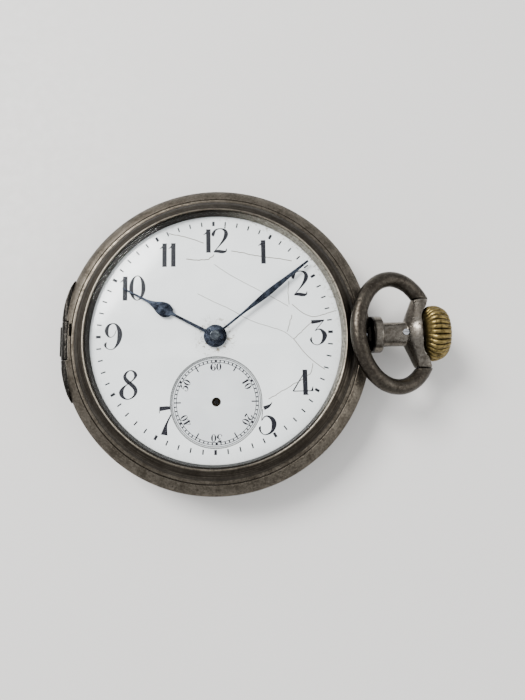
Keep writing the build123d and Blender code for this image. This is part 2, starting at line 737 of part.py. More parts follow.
with BuildPart() as pallet_cock:
    cock_line = radians(bearing(escape_arbor, balance_arbor) + 90)
    with BuildSketch(Plane.XY.offset(4.3)) as pallet_bar:
        with Locations(Location((*pallet_arbor, 0), (0, 0, degrees(cock_line)))):
            SlotCenterToCenter(5.6, 1.6)
    extrude(amount=0.6)
    for side in (-1, 1):
        foot = around(pallet_arbor, side * 2.8, cock_line)
        rod(*foot, 4.9, plate_low, 0.6)
    rod(*pallet_arbor, 4.3, 4.9, 0.2, Mode.SUBTRACT)
    rod(*pallet_arbor, 4.5, 4.9, jewel_radius, Mode.SUBTRACT)
pallet_cock.part.label = "pallet_cock"
export_step(pallet_cock.part, "parts/pallet_cock.step")

with BuildPart() as jewels:
    for place in jewelled:
        rod(*place, 3.5, bridge_top, jewel_radius)
    rod(0, 0, 3.5, bridge_top, jewel_radius)
    rod(*balance_arbor, cock_top - 0.35, cock_top, jewel_radius)
    rod(*pallet_arbor, 4.5, 4.9, jewel_radius)
    for place in (third_arbor, escape_arbor, balance_arbor, pallet_arbor):
        rod(*place, plate_low, plate_low + 0.4, jewel_radius)
    for place in (third_arbor, escape_arbor, balance_arbor, pallet_arbor, fourth_arbor, centre_arbor):
        rod(*place, cock_low, 7.0, pivot + pivot_play, Mode.SUBTRACT)
jewels.part.label = "jewels"
export_step(jewels.part, "parts/jewels.step")

with BuildPart() as movement_screws:
    for place in barrel_pillars + train_pillars:
        slotted_screw(place, 2.1, bridge_low, 0.9)
    slotted_screw(cock_foot, 1.65, cock_low, 1.0)
movement_screws.part.label = "movement_screws"
export_step(movement_screws.part, "parts/movement_screws.step")

# ---------------------------------------------------------------- mainspring barrel and winding work

with BuildPart() as barrel_drum:
    toothed(barrel_place, 84, 8.5, bearing(barrel_place, centre_arbor), 5.7, 0.4)
    rod(*barrel_place, 4.55, 6.1, 8.1)
    rod(*barrel_place, 4.5, 5.8, 7.7, Mode.SUBTRACT)
    rod(*barrel_place, 4.5, 6.5, 0.85, Mode.SUBTRACT)
barrel_drum.part.label = "barrel_drum"
export_step(barrel_drum.part, "parts/barrel_drum.step")

with BuildPart() as barrel_cover:
    rod(*barrel_place, 4.55, 4.75, 7.7)
    rod(*barrel_place, 4.5, 4.8, 1.05, Mode.SUBTRACT)
barrel_cover.part.label = "barrel_cover"
export_step(barrel_cover.part, "parts/barrel_cover.step")


def spiral_strip(place, start, end, turns, width, low, height):
    """A flat coiled spring, as one closed spiral band."""
    steps = int(turns * 24)
    outward = []
    inward = []
    for step in range(steps + 1):
        angle = 2 * pi * turns * step / steps
        radius = start + (end - start) * step / steps
        outward.append(around(place, radius + width / 2, angle))
        inward.append(around(place, radius - width / 2, angle))
    with BuildSketch(Plane.XY.offset(low)) as band:
        with BuildLine():
            Polyline(*outward, *reversed(inward), close=True)
        make_face()
    extrude(band.sketch, amount=height)


with BuildPart() as mainspring:
    spiral_strip(barrel_place, 1.35, 7.5, 9, 0.2, 4.85, 0.9)
mainspring.part.label = "mainspring"
export_step(mainspring.part, "parts/mainspring.step")

with BuildPart() as barrel_arbor:
    rod(*barrel_place, 1.7, 5.75, 1.0)
    rod(*barrel_place, 5.75, 7.1, 0.75)
barrel_arbor.part.label = "barrel_arbor"
export_step(barrel_arbor.part, "parts/barrel_arbor.step")

ratchet_bearing = bearing(barrel_place, crown_wheel_place)
with BuildPart() as ratchet_wheel:
    toothed(barrel_place, 76, 7.6, ratchet_bearing, 1.95, 0.4)
    rod(*barrel_place, 1.9, 2.4, 1.0, Mode.SUBTRACT)
ratchet_wheel.part.label = "ratchet_wheel"
export_step(ratchet_wheel.part, "parts/ratchet_wheel.step")

with BuildPart() as crown_wheel:
    toothed(crown_wheel_place, 44, 4.4, ratchet_bearing + 180 + 180 / 44, 1.95, 0.4)
    rod(*crown_wheel_place, 2.35, 5.1, 1.5)
    toothed(crown_wheel_place, 34, 2.45, 0, 5.1, 0.87)
    rod(*crown_wheel_place, 1.9, 3.0, 0.5, Mode.SUBTRACT)
crown_wheel.part.label = "crown_wheel"
export_step(crown_wheel.part, "parts/crown_wheel.step")

with BuildPart() as click:
    with BuildSketch(Plane.XY.offset(1.95)) as click_outline:
        with Locations(click_place):
            Circle(0.9)
        with Locations(click_tip):
            Circle(0.22)
        make_hull()
    extrude(amount=0.4)
    rod(*click_place, 2.35, 3.15, 0.25)
click.part.label = "click"
export_step(click.part, "parts/click.step")

with BuildPart() as click_spring:
    with BuildSketch(Plane.XY.offset(2.0)) as spring_outline:
        with BuildLine():
            ThreePointArc((-6.5, 9.5), (-5.6, 12.6), (-2.6, 14.7))
        trace(line_width=0.25)
        with Locations((-6.5, 9.3)):
            Circle(0.6)
    extrude(amount=0.3)
    rod(-6.5, 9.3, 2.3, bridge_low, 0.6)
click_spring.part.label = "click_spring"
export_step(click_spring.part, "parts/click_spring.step")

with BuildPart() as setting_lever:
    with BuildSketch(Plane.XY.offset(8.25)) as lever_outline:
        with Locations(lever_pivot):
            Circle(0.8)
        with Locations((20.15, 0)):
            Circle(0.35)
        make_hull()
    extrude(amount=0.18)
    rod(20.15, 0, 7.78, 8.25, 0.2)
    rod(*lever_pivot, 8, 9, 0.38, Mode.SUBTRACT)
setting_lever.part.label = "setting_lever"
export_step(setting_lever.part, "parts/setting_lever.step")

with BuildPart() as yoke:
    with BuildSketch(Plane.XY.offset(8.22)) as yoke_outline:
        with Locations(yoke_pivot):
            Circle(0.8)
        with Locations((15.6, 2.0)):
            Circle(0.3)
        make_hull()
    extrude(amount=0.18)
    block((15.45, 15.75), (-0.3, 2.0), (8.22, 8.4))
    rod(*yoke_pivot, 8, 9, 0.38, Mode.SUBTRACT)
yoke.part.label = "yoke"
export_step(yoke.part, "parts/yoke.step")

# ---------------------------------------------------------------- going train


def arbor(place, low, high, radius):
    """A wheel's steel arbor with a thin pivot at each end."""
    rod(*place, low, high, radius)
    rod(*place, low - 0.4, high + 0.35, pivot)


with BuildPart() as centre_pinion:
    toothed(centre_arbor, 12, 1.214, bearing(centre_arbor, barrel_place) + 15, 5.65, 0.55)
    rod(0, 0, 3.95, 10.4, centre_radius)
    rod(0, 0, 3.55, 3.95, pivot)
centre_pinion.part.label = "centre_pinion"
export_step(centre_pinion.part, "parts/centre_pinion.step")

with BuildPart() as centre_wheel:
    toothed(centre_arbor, 80, 6.4, bearing(centre_arbor, third_arbor), 4.1, wheel_thickness)
    crossings(centre_arbor, 1.3, 5.4, 5, 4.0, 0.4)
    rod(0, 0, 4, 5, centre_radius, Mode.SUBTRACT)
centre_wheel.part.label = "centre_wheel"
export_step(centre_wheel.part, "parts/centre_wheel.step")

with BuildPart() as third_pinion:
    toothed(third_arbor, 10, 0.8, bearing(third_arbor, centre_arbor) + 18, 4.0, 0.5)
    arbor(third_arbor, 3.95, 6.25, 0.3)
third_pinion.part.label = "third_pinion"
export_step(third_pinion.part, "parts/third_pinion.step")

with BuildPart() as third_wheel:
    toothed(third_arbor, 75, 5.25, bearing(third_arbor, fourth_arbor), 5.3, wheel_thickness)
    crossings(third_arbor, 1.0, 4.4, 5, 5.2, 0.4)
    rod(*third_arbor, 5, 6, 0.3, Mode.SUBTRACT)
third_wheel.part.label = "third_wheel"
export_step(third_wheel.part, "parts/third_wheel.step")

with BuildPart() as fourth_pinion:
    toothed(fourth_arbor, 10, 0.7, bearing(fourth_arbor, third_arbor) + 18, 5.2, 0.45)
    rod(*fourth_arbor, 3.95, 9.1, 0.27)
    rod(*fourth_arbor, 3.55, 3.95, pivot)
fourth_pinion.part.label = "fourth_pinion"
export_step(fourth_pinion.part, "parts/fourth_pinion.step")

with BuildPart() as fourth_wheel:
    toothed(fourth_arbor, 80, 5.2, bearing(fourth_arbor, escape_arbor), 4.7, wheel_thickness)
    crossings(fourth_arbor, 1.0, 4.4, 5, 4.6, 0.4)
    rod(*fourth_arbor, 4, 5, 0.27, Mode.SUBTRACT)
fourth_wheel.part.label = "fourth_wheel"
export_step(fourth_wheel.part, "parts/fourth_wheel.step")

with BuildPart() as escape_wheel:
    toothed(escape_arbor, 8, 0.52, bearing(escape_arbor, fourth_arbor) + 22.5, 4.6, 0.4)
    arbor(escape_arbor, 3.95, 6.25, 0.22)
    escape_points = []
    for tooth in range(15):
        start = 2 * pi * tooth / 15
        for radius, lead in ((2.3, 0.0), (2.95, 0.1), (3.0, 0.16), (2.35, 0.12), (2.3, 0.2)):
            escape_points.append(around(escape_arbor, radius, start + lead))
    with BuildSketch(Plane.XY.offset(5.4)) as escape_outline:
        with BuildLine():
            Polyline(*escape_points, close=True)
        make_face()
    extrude(amount=wheel_thickness)
escape_wheel.part.label = "escape_wheel"
export_step(escape_wheel.part, "parts/escape_wheel.step")

# ---------------------------------------------------------------- escapement and balance

with BuildPart() as pallet_fork:
    toward_escape = radians(bearing(pallet_arbor, escape_arbor))
    fork_plane = Plane(
        origin=(*pallet_arbor, 5.4),
        x_dir=(cos(toward_escape), sin(toward_escape), 0),
        z_dir=(0, 0, 1),
    )
    with BuildSketch(fork_plane) as fork_outline:
        with BuildLine():
            Polyline(
                (-3.1, 0.35),
                (-2.6, 0.25),
                (-0.6, 0.25),
                (-0.3, 1.1),
                (0.2, 2.2),
                (0.45, 2.15),
                (0.2, 1.3),
                (0.25, 0.5),
                (0.25, -0.5),
                (0.2, -1.3),
                (0.45, -2.15),
                (0.2, -2.2),
                (-0.3, -1.1),
                (-0.6, -0.25),
                (-2.6, -0.25),
                (-3.1, -0.35),
                (-3.1, -0.15),
                (-2.75, 0),
                (-3.1, 0.15),
                close=True,
            )
        make_face()
    extrude(amount=wheel_thickness)
    arbor(pallet_arbor, 4.95, 6.25, 0.2)
pallet_fork.part.label = "pallet_fork"
export_step(pallet_fork.part, "parts/pallet_fork.step")

with BuildPart() as balance_wheel:
    rod(*balance_arbor, 3.45, 3.95, balance_rim)
    rod(*balance_arbor, 3.4, 4.0, balance_rim - 0.5, Mode.SUBTRACT)
    with BuildSketch(Plane.XY.offset(3.6)) as balance_arm:
        with Locations(Location((*balance_arbor, 0), (0, 0, 35))):
            Rectangle(2 * balance_rim - 0.5, 0.7)
        with Locations(balance_arbor):
            Circle(0.8)
    extrude(amount=0.25)
    for screw in range(14):
        with Locations(Location((*balance_arbor, 3.7), (0, 0, 360 * screw / 14))):
            with Locations(Location((balance_rim + 0.15, 0, 0), (0, 90, 0))):
                Cylinder(0.2, 0.6)
    rod(*balance_arbor, 3, 4.5, staff_radius, Mode.SUBTRACT)
balance_wheel.part.label = "balance_wheel"
export_step(balance_wheel.part, "parts/balance_wheel.step")

with BuildPart() as balance_staff:
    arbor(balance_arbor, 2.55, 6.25, staff_radius)
    rod(*balance_arbor, 4.95, 5.15, 1.0)
    rod(balance_arbor[0] + 0.75, balance_arbor[1], 5.15, 5.65, 0.14)
balance_staff.part.label = "balance_staff"
export_step(balance_staff.part, "parts/balance_staff.step")

with BuildPart() as hairspring:
    spiral_strip(balance_arbor, 0.55, 3.2, 7, 0.07, 3.0, 0.14)
    rod(*balance_arbor, 2.95, 3.2, 0.6)
    rod(*balance_arbor, 2.9, 3.3, staff_radius, Mode.SUBTRACT)
hairspring.part.label = "hairspring"
export_step(hairspring.part, "parts/hairspring.step")

with BuildPart() as regulator:
    with BuildSketch(Plane.XY.offset(1.72)) as index_outline:
        with Locations(balance_arbor):
            Circle(1.1)
        with Locations((balance_arbor[0] + 4.2, balance_arbor[1] - 0.4)):
            Circle(0.2)
        make_hull()
        with Locations(balance_arbor):
            Circle(0.45, mode=Mode.SUBTRACT)
    extrude(amount=0.14)
regulator.part.label = "regulator"
export_step(regulator.part, "parts/regulator.step")
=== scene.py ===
"""An old pocket watch lying on its back, dial up: a hunter case whose front lid is lost."""

import json
import math
import random

import bmesh
import bpy
from mathutils import Matrix, Vector, noise


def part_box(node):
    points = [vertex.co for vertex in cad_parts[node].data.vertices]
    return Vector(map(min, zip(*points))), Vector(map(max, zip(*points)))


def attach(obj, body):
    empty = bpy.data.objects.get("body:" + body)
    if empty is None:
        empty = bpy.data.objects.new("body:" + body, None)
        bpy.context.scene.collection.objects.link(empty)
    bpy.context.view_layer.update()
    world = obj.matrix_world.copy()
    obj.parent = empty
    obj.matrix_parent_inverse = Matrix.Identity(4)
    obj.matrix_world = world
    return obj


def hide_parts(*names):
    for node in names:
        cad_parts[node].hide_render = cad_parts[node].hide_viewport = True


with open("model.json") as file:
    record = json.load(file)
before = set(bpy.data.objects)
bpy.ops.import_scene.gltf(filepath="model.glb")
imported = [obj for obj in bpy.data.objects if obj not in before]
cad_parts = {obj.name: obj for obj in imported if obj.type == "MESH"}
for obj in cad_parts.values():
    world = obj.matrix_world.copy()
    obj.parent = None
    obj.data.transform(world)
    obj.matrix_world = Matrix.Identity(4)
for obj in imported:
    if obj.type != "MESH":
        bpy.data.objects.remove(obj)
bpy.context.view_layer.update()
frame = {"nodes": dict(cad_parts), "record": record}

MM = 0.001
TAU = 2 * math.pi
scene = bpy.context.scene
nodes = frame["nodes"]

# Levels and sizes taken from the frame, in millimetres
dial_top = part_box("dial")[1].z / MM
dial_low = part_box("dial")[0].z / MM
dial_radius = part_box("dial")[1].y / MM
seconds_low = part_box("seconds_dial")[0].z / MM
seconds_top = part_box("seconds_dial")[1].z / MM
seconds_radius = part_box("seconds_dial")[1].x / MM
seconds_y = (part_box("seconds_dial")[0].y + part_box("seconds_dial")[1].y) / 2 / MM
stem_z = (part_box("stem")[0].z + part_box("stem")[1].z) / 2 / MM
bezel_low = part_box("bezel")[0].z / MM
bezel_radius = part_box("bezel")[1].y / MM
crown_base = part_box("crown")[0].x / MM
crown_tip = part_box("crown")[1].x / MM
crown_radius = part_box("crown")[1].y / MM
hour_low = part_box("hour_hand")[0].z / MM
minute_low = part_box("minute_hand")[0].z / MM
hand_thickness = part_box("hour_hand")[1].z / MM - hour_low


# ---------------------------------------------------------------- shader nodes


class Shader:
    """A material's node tree, built a node at a time. Lengths inside it are millimetres."""

    def __init__(self, name):
        self.material = bpy.data.materials.new(name)
        self.material.use_nodes = True
        self.tree = self.material.node_tree
        self.tree.nodes.clear()
        self.output = self.node("ShaderNodeOutputMaterial")
        self.surface = self.node("ShaderNodeBsdfPrincipled")
        self.join(self.surface.outputs[0], self.output.inputs["Surface"])
        place = self.node("ShaderNodeTexCoord").outputs["Object"]
        self.place = self.vector("SCALE", place, scale=1 / MM)

    def node(self, kind, **settings):
        made = self.tree.nodes.new(kind)
        for key, value in settings.items():
            setattr(made, key, value)
        return made

    def join(self, source, socket):
        self.tree.links.new(source, socket)

    def feed(self, socket, value):
        """Links an output to a socket, or sets the socket's own value."""
        if isinstance(value, bpy.types.NodeSocket):
            self.join(value, socket)
        elif value is not None:
            socket.default_value = value

    def vector(self, operation, a, b=None, scale=None):
        made = self.node("ShaderNodeVectorMath", operation=operation)
        self.feed(made.inputs[0], a)
        self.feed(made.inputs[1], b)
        if scale is not None:
            made.inputs["Scale"].default_value = scale
        return made.outputs["Value" if operation in ("DOT_PRODUCT", "LENGTH") else "Vector"]

    def math(self, operation, a, b=None, clamp=False):
        made = self.node("ShaderNodeMath", operation=operation, use_clamp=clamp)
        self.feed(made.inputs[0], a)
        self.feed(made.inputs[1], b)
        return made.outputs[0]

    def noise(self, scale, detail=4.0, roughness=0.6, place=None, distortion=0.0):
        """Noise of the given number of features per millimetre."""
        made = self.node("ShaderNodeTexNoise")
        self.join(place or self.place, made.inputs["Vector"])
        made.inputs["Scale"].default_value = scale
        made.inputs["Detail"].default_value = detail
        made.inputs["Roughness"].default_value = roughness
        made.inputs["Distortion"].default_value = distortion
        return made.outputs["Fac"]

    def step(self, value, low, high, to_low=0.0, to_high=1.0):
        """A smooth step from to_low below low to to_high above high."""
        made = self.node("ShaderNodeMapRange", interpolation_type="SMOOTHSTEP")
        self.feed(made.inputs["Value"], value)
        made.inputs["From Min"].default_value = low
        made.inputs["From Max"].default_value = high
        made.inputs["To Min"].default_value = to_low
        made.inputs["To Max"].default_value = to_high
        return made.outputs["Result"]

    def mix(self, share, a, b):
        """A mix of two colours."""
        made = self.node("ShaderNodeMix", data_type="RGBA")
        self.feed(made.inputs["Factor"], share)
        for socket, value in ((made.inputs["A"], a), (made.inputs["B"], b)):
            self.feed(socket, value if isinstance(value, bpy.types.NodeSocket) else (*value, 1.0))
        return made.outputs["Result"]

    def from_axis(self, centre=None):
        """Distance from the case's upright axis, or from an upright axis through a centre."""
        place = self.vector("SUBTRACT", self.place, centre) if centre else self.place
        return self.vector("LENGTH", self.vector("MULTIPLY", place, (1, 1, 0)))

    def polar(self, turns):
        """Coordinates round the case's axis: turns along the ring, then radius and height."""
        split = self.node("ShaderNodeSeparateXYZ")
        self.join(self.place, split.inputs[0])
        angle = self.math("ARCTAN2", split.outputs["Y"], split.outputs["X"])
        radius = self.from_axis()
        made = self.node("ShaderNodeCombineXYZ")
        self.join(self.math("MULTIPLY", angle, turns), made.inputs["X"])
        self.join(radius, made.inputs["Y"])
        self.join(split.outputs["Z"], made.inputs["Z"])
        return made.outputs[0]

    def edges(self, radius):
        """How far the surface turns within a radius: 0 on flats, towards 1 on sharp edges."""
        bevel = self.node("ShaderNodeBevel", samples=6)
        bevel.inputs["Radius"].default_value = radius * MM
        normal = self.node("ShaderNodeNewGeometry").outputs["Normal"]
        return self.math("SUBTRACT", 1.0, self.vector("DOT_PRODUCT", bevel.outputs[0], normal))

    def open_sky(self, distance, own=False):
        """1 on exposed surface, less in hollows, or only in its own piece's hollows."""
        made = self.node("ShaderNodeAmbientOcclusion", samples=6, only_local=own)
        made.inputs["Distance"].default_value = distance * MM
        return made.outputs["AO"]

    def band(self, value, low, high, soft):
        """1 between two values, falling to 0 over a soft border outside them."""
        rise = self.step(value, low - soft, low)
        return self.math("MULTIPLY", rise, self.step(value, high, high + soft, 1.0, 0.0))

    def bump(self, height, depth):
        made = self.node("ShaderNodeBump")
        made.inputs["Distance"].default_value = depth * MM
        made.inputs["Strength"].default_value = 1.0
        self.join(height, made.inputs["Height"])
        return made.outputs[0]

    def finish(self, **inputs):
        """Sets the Principled shader's inputs, with spaces for underscores."""
        for key, value in inputs.items():
            name = key.replace("_", " ").title().replace("Ior", "IOR")
            if isinstance(value, tuple):
                value = (*value, 1.0)
            self.feed(self.surface.inputs[name], value)
        return self.material


# ---------------------------------------------------------------- materials


# Zones of the bezel and the collar, as distances from the case's axis
bezel_wall = (20.0, 21.38)
bezel_bead = (21.44, 21.58)
bezel_slope = (21.75, 23.25)
collar_face = (26.35, 26.7)


def tarnished(name, dark, mid, bright, round_case=False, pits=1.0, gloss=0.0, bezel=False, collar=False):
    """Old silver: brown tarnish in the hollows with painted shade where parts meet, mottled flats, worn
    bright edges, fine scratches; on the bezel, painted light and shade on the inner wall and a partly painted
    highlight on its top rim; painted shade inward of the collar.
    """
    s = Shader(name)
    clouds = s.noise(0.45, 6, 0.65)
    mottle = s.noise(2.4, 6, 0.7, distortion=0.4)
    grain = s.noise(9.0, 3, 0.7)
    ring = s.polar(6.0 if round_case else 3.0)
    lines = s.noise(5.0, 3, 0.6, place=s.vector("MULTIPLY", ring, (0.35, 4.0, 4.0)))
    stain = s.math("ADD", s.math("MULTIPLY", clouds, 0.55), s.math("MULTIPLY", mottle, 0.45))
    colour = s.mix(s.step(stain, 0.38, 0.62), dark, mid)
    glints = s.math("MULTIPLY", s.step(lines, 0.52, 0.74), s.step(mottle, 0.42, 0.6))
    colour = s.mix(s.math("MULTIPLY", glints, 0.4), colour, bright)
    if bezel:
        radius = s.from_axis()
        side = s.vector("DOT_PRODUCT", s.place, (0.044, 0.018, 0.0))
        across = s.math("ABSOLUTE", s.vector("DOT_PRODUCT", s.place, (0.0465, 0.0, 0.0)))
        wall = s.band(radius, *bezel_wall, 0.06)
        # The bezel's top rim is brightened, most at the left and right of the ring: partly worn metal, partly
        # a painted highlight.
        bead = s.math("MULTIPLY", s.band(radius, *bezel_bead, 0.08), s.step(mottle, 0.3, 0.6, 0.5, 0.95))
        bead = s.math("MULTIPLY", bead, s.step(across, 0.25, 0.9, 0.12, 1.0))
        grooves = s.noise(3.2, 2, 0.5, place=s.vector("MULTIPLY", ring, (0.08, 2.2, 0.0)))
        slope = s.math("MULTIPLY", s.band(radius, *bezel_slope, 0.1), s.step(grooves, 0.4, 0.6, 0.93, 0.6))
        colour = s.mix(slope, colour, (0.015, 0.012, 0.009))
        colour = s.mix(bead, colour, bright)
    edge = s.step(s.edges(0.16), 0.02, 0.3)
    sky = s.open_sky(0.9, bezel)
    worn = s.math("MULTIPLY", edge, s.step(sky, 0.55, 0.85))
    worn = s.math("MULTIPLY", worn, s.step(s.noise(1.6, 5, 0.6), 0.3, 0.6, 0.35, 1.0), clamp=True)
    if bezel:
        worn = s.math("MULTIPLY", worn, s.step(radius, 21.6, 22.6, 0.0, 0.5))
    colour = s.mix(worn, colour, bright)
    if bezel:
        # Painted light and shade on the bezel's inner wall: lit towards the right-hand side, which faces the
        # lamp, and nearly black elsewhere, where the wall is turned from it.
        lit = s.mix(s.step(mottle, 0.35, 0.6), (0.1, 0.09, 0.075), (0.26, 0.24, 0.2))
        wall_light_and_shade = s.mix(s.step(side, 0.35, 0.95), (0.02, 0.018, 0.016), lit)
        colour = s.mix(wall, colour, wall_light_and_shade)
    if collar:
        # Inward of the collar's face the pendant is painted nearly black: painted shade beside the case,
        # under the bow.
        radius = s.from_axis()
        colour = s.mix(s.step(radius, *collar_face, 0.97, 0.0), colour, (0.008, 0.007, 0.006))
    pit = s.step(s.noise(3.6, 2, 0.5), 0.3, 0.36)
    dirt = s.math("MULTIPLY", s.math("SUBTRACT", 1.0, pit), 0.75 * pits)
    colour = s.mix(dirt, colour, (0.02, 0.016, 0.013))
    # Darker where hollows or nearby parts close over the surface: tarnish in the hollows together with
    # painted shade where parts meet.
    colour = s.mix(s.step(sky, 0.15, 0.75, 0.9, 0.0), colour, (0.018, 0.014, 0.011))
    speckle = s.math("ADD", stain, s.math("MULTIPLY", grain, 0.25))
    rough = s.step(speckle, 0.4, 0.8, 0.5 - gloss, 0.34 - gloss)
    rough = s.math("SUBTRACT", rough, s.math("MULTIPLY", worn, 0.1))
    height = s.math("ADD", s.math("MULTIPLY", grain, 0.25), s.math("MULTIPLY", mottle, 0.6))
    height = s.math("ADD", height, s.math("MULTIPLY", lines, 0.3))
    height = s.math("ADD", height, s.math("MULTIPLY", pit, 1.2 * pits))
    return s.finish(base_color=colour, metallic=1.0, roughness=rough, normal=s.bump(height, 0.022))


def crown_brass():
    """Plating gone from the flutes: bright brass on the ridges, olive dirt in the grooves, deepened there by
    painted shade.
    """
    s = Shader("crown_brass")
    mottle = s.noise(1.8, 6, 0.65)
    sky = s.open_sky(0.5)
    ridge = s.step(sky, 0.62, 0.92)
    colour = s.mix(s.step(mottle, 0.35, 0.65), (0.03, 0.021, 0.007), (0.07, 0.05, 0.016))
    colour = s.mix(s.math("MULTIPLY", ridge, s.step(mottle, 0.3, 0.6, 0.1, 0.75)), colour, (0.27, 0.2, 0.075))
    # Nearly black where the flutes and the pendant close over the surface: painted shade over the olive dirt.
    colour = s.mix(s.step(sky, 0.3, 0.75, 0.95, 0.0), colour, (0.012, 0.009, 0.005))
    height = s.math("ADD", s.math("MULTIPLY", mottle, 0.6), s.noise(7.0, 3, 0.6))
    rough = s.step(mottle, 0.3, 0.7, 0.46, 0.3)
    return s.finish(base_color=colour, metallic=1.0, roughness=rough, normal=s.bump(height, 0.02))


def enamel(name, dull, clean):
    """Fired white enamel: glossy, faintly uneven, with brown dirt near its edges and holes, and painted shade
    where other parts close over it.
    """
    s = Shader(name)
    clouds = s.noise(0.16, 3, 0.5)
    colour = s.mix(s.step(clouds, 0.35, 0.65), dull, clean)
    radius = s.from_axis()
    side = s.step(s.vector("DOT_PRODUCT", s.place, (0.034, 0.034, 0.0)), 0.6, 1.0, 0.25, 1.0)
    rim = s.math("MULTIPLY", s.step(radius, 19.2, 21.0), side)
    hub = s.step(radius, 1.9, 4.4, 1.0, 0.0)
    specks = s.step(s.noise(1.5, 4, 0.75), 0.535, 0.6)
    places = s.math("ADD", s.math("MULTIPLY", rim, 0.7), s.math("MULTIPLY", hub, 0.9))
    dirt = s.math("MULTIPLY", specks, places)
    haze = s.math("MULTIPLY", hub, s.step(clouds, 0.2, 0.8, 0.05, 0.2))
    stray = s.math("MULTIPLY", s.step(s.noise(1.6, 3, 0.7), 0.71, 0.76), 0.35)
    dirt = s.math("ADD", s.math("ADD", dirt, haze), stray, clamp=True)
    colour = s.mix(dirt, colour, (0.2, 0.16, 0.1))
    # Greyed where other parts or the sunk step close over the enamel: painted shade.
    colour = s.mix(s.step(s.open_sky(0.35), 0.3, 0.9, 0.55, 0.0), colour, (0.16, 0.15, 0.13))
    rough = s.step(s.noise(0.8, 4, 0.6), 0.3, 0.7, 0.1, 0.2)
    orange_peel = s.bump(s.noise(0.5, 2, 0.5), 0.012)
    return s.finish(
        base_color=colour, roughness=rough, normal=orange_peel, coat_weight=0.35, coat_roughness=0.08)


def ink(name, dark, pale):
    """Fired black print, a little thin in places."""
    s = Shader(name)
    colour = s.mix(s.step(s.noise(3.0, 4, 0.6), 0.5, 0.75), dark, pale)
    rough = s.step(s.noise(2.0), 0.3, 0.7, 0.35, 0.5)
    return s.finish(base_color=colour, roughness=rough, specular_ior_level=0.25)


def blued(name, base, sheen, worn):
    """Heat-blued steel, darkened, with rubbed edges and a few specks of rust."""
    s = Shader(name)
    clouds = s.noise(0.9, 5, 0.6)
    colour = s.mix(s.step(clouds, 0.38, 0.62), base, sheen)
    rust = s.step(s.noise(4.5, 4, 0.7), 0.64, 0.74)
    colour = s.mix(s.math("MULTIPLY", rust, 0.6), colour, (0.09, 0.055, 0.035))
    edge = s.step(s.edges(0.06), 0.03, 0.35)
    colour = s.mix(s.math("MULTIPLY", edge, s.step(clouds, 0.35, 0.6, 0.2, 0.8)), colour, worn)
    height = s.math("ADD", s.noise(6.0, 3, 0.6), s.math("MULTIPLY", rust, 1.5))
    rough = s.step(s.noise(3.0, 4, 0.6), 0.3, 0.7, 0.24, 0.42)
    return s.finish(base_color=colour, metallic=1.0, roughness=rough, normal=s.bump(height, 0.006))


def crystal_glass():
    """Clear watch glass: what lies behind shows unbent, and only its mirror shine is added."""
    s = Shader("crystal_glass")
    clear = s.node("ShaderNodeBsdfTransparent")
    clear.inputs["Color"].default_value = (0.985, 0.99, 0.988, 1.0)
    shine = s.node("ShaderNodeBsdfGlossy")
    shine.inputs["Color"].default_value = (1.0, 1.0, 1.0, 1.0)
    s.join(s.step(s.noise(0.7, 5, 0.7), 0.3, 0.8, 0.04, 0.1), shine.inputs["Roughness"])
    gloss = s.node("ShaderNodeFresnel")
    gloss.inputs["IOR"].default_value = 1.2
    hair = s.noise(2.2, 2, 0.5, place=s.vector("MULTIPLY", s.place, (0.15, 3.0, 1.0)))
    scratch = s.math("MULTIPLY", s.step(hair, 0.7, 0.74), 0.01)
    share = s.math("ADD", s.math("MULTIPLY", gloss.outputs[0], 0.15), scratch, clamp=True)
    mixed = s.node("ShaderNodeMixShader")
    s.join(share, mixed.inputs[0])
    s.join(clear.outputs[0], mixed.inputs[1])
    s.join(shine.outputs[0], mixed.inputs[2])
    s.join(mixed.outputs[0], s.output.inputs["Surface"])
    s.tree.nodes.remove(s.surface)
    return s.material


def plate_metal(name, low, high, rough_low, rough_high, grain=(1.0, 1.0, 1.0), shaded_pivot=None):
    """Movement metal: frosted, grained or polished, stained by old lubricant, with painted shade in its
    hollows and painted black as shade round one old pivot under the seconds hole.
    """
    s = Shader(name)
    lines = s.noise(7.0, 3, 0.6, place=s.vector("MULTIPLY", s.place, grain))
    stain = s.noise(0.5, 5, 0.6)
    share = s.math("ADD", s.math("MULTIPLY", stain, 0.7), s.math("MULTIPLY", lines, 0.3))
    colour = s.mix(s.step(share, 0.38, 0.62), low, high)
    # Darker where other parts close over the metal: painted shade.
    colour = s.mix(s.step(s.open_sky(0.7), 0.25, 0.8, 0.6, 0.0), colour, tuple(0.15 * v for v in low))
    if shaded_pivot:
        # Painted black round the pivot under the seconds hole, so that the hole looks dark: painted shade.
        colour = s.mix(s.step(s.from_axis(shaded_pivot), 1.0, 1.8, 0.97, 0.0), colour, (0.01, 0.009, 0.008))
    rough = s.step(lines, 0.3, 0.7, rough_low, rough_high)
    return s.finish(base_color=colour, metallic=1.0, roughness=rough, normal=s.bump(lines, 0.008))


def ruby():
    """Synthetic ruby, polished, paler where light gathers in it."""
    s = Shader("ruby")
    colour = s.mix(s.step(s.noise(2.5, 3, 0.5), 0.35, 0.65), (0.35, 0.01, 0.05), (0.62, 0.04, 0.12))
    return s.finish(base_color=colour, roughness=s.step(s.noise(4.0), 0.3, 0.7, 0.05, 0.12), ior=1.76)


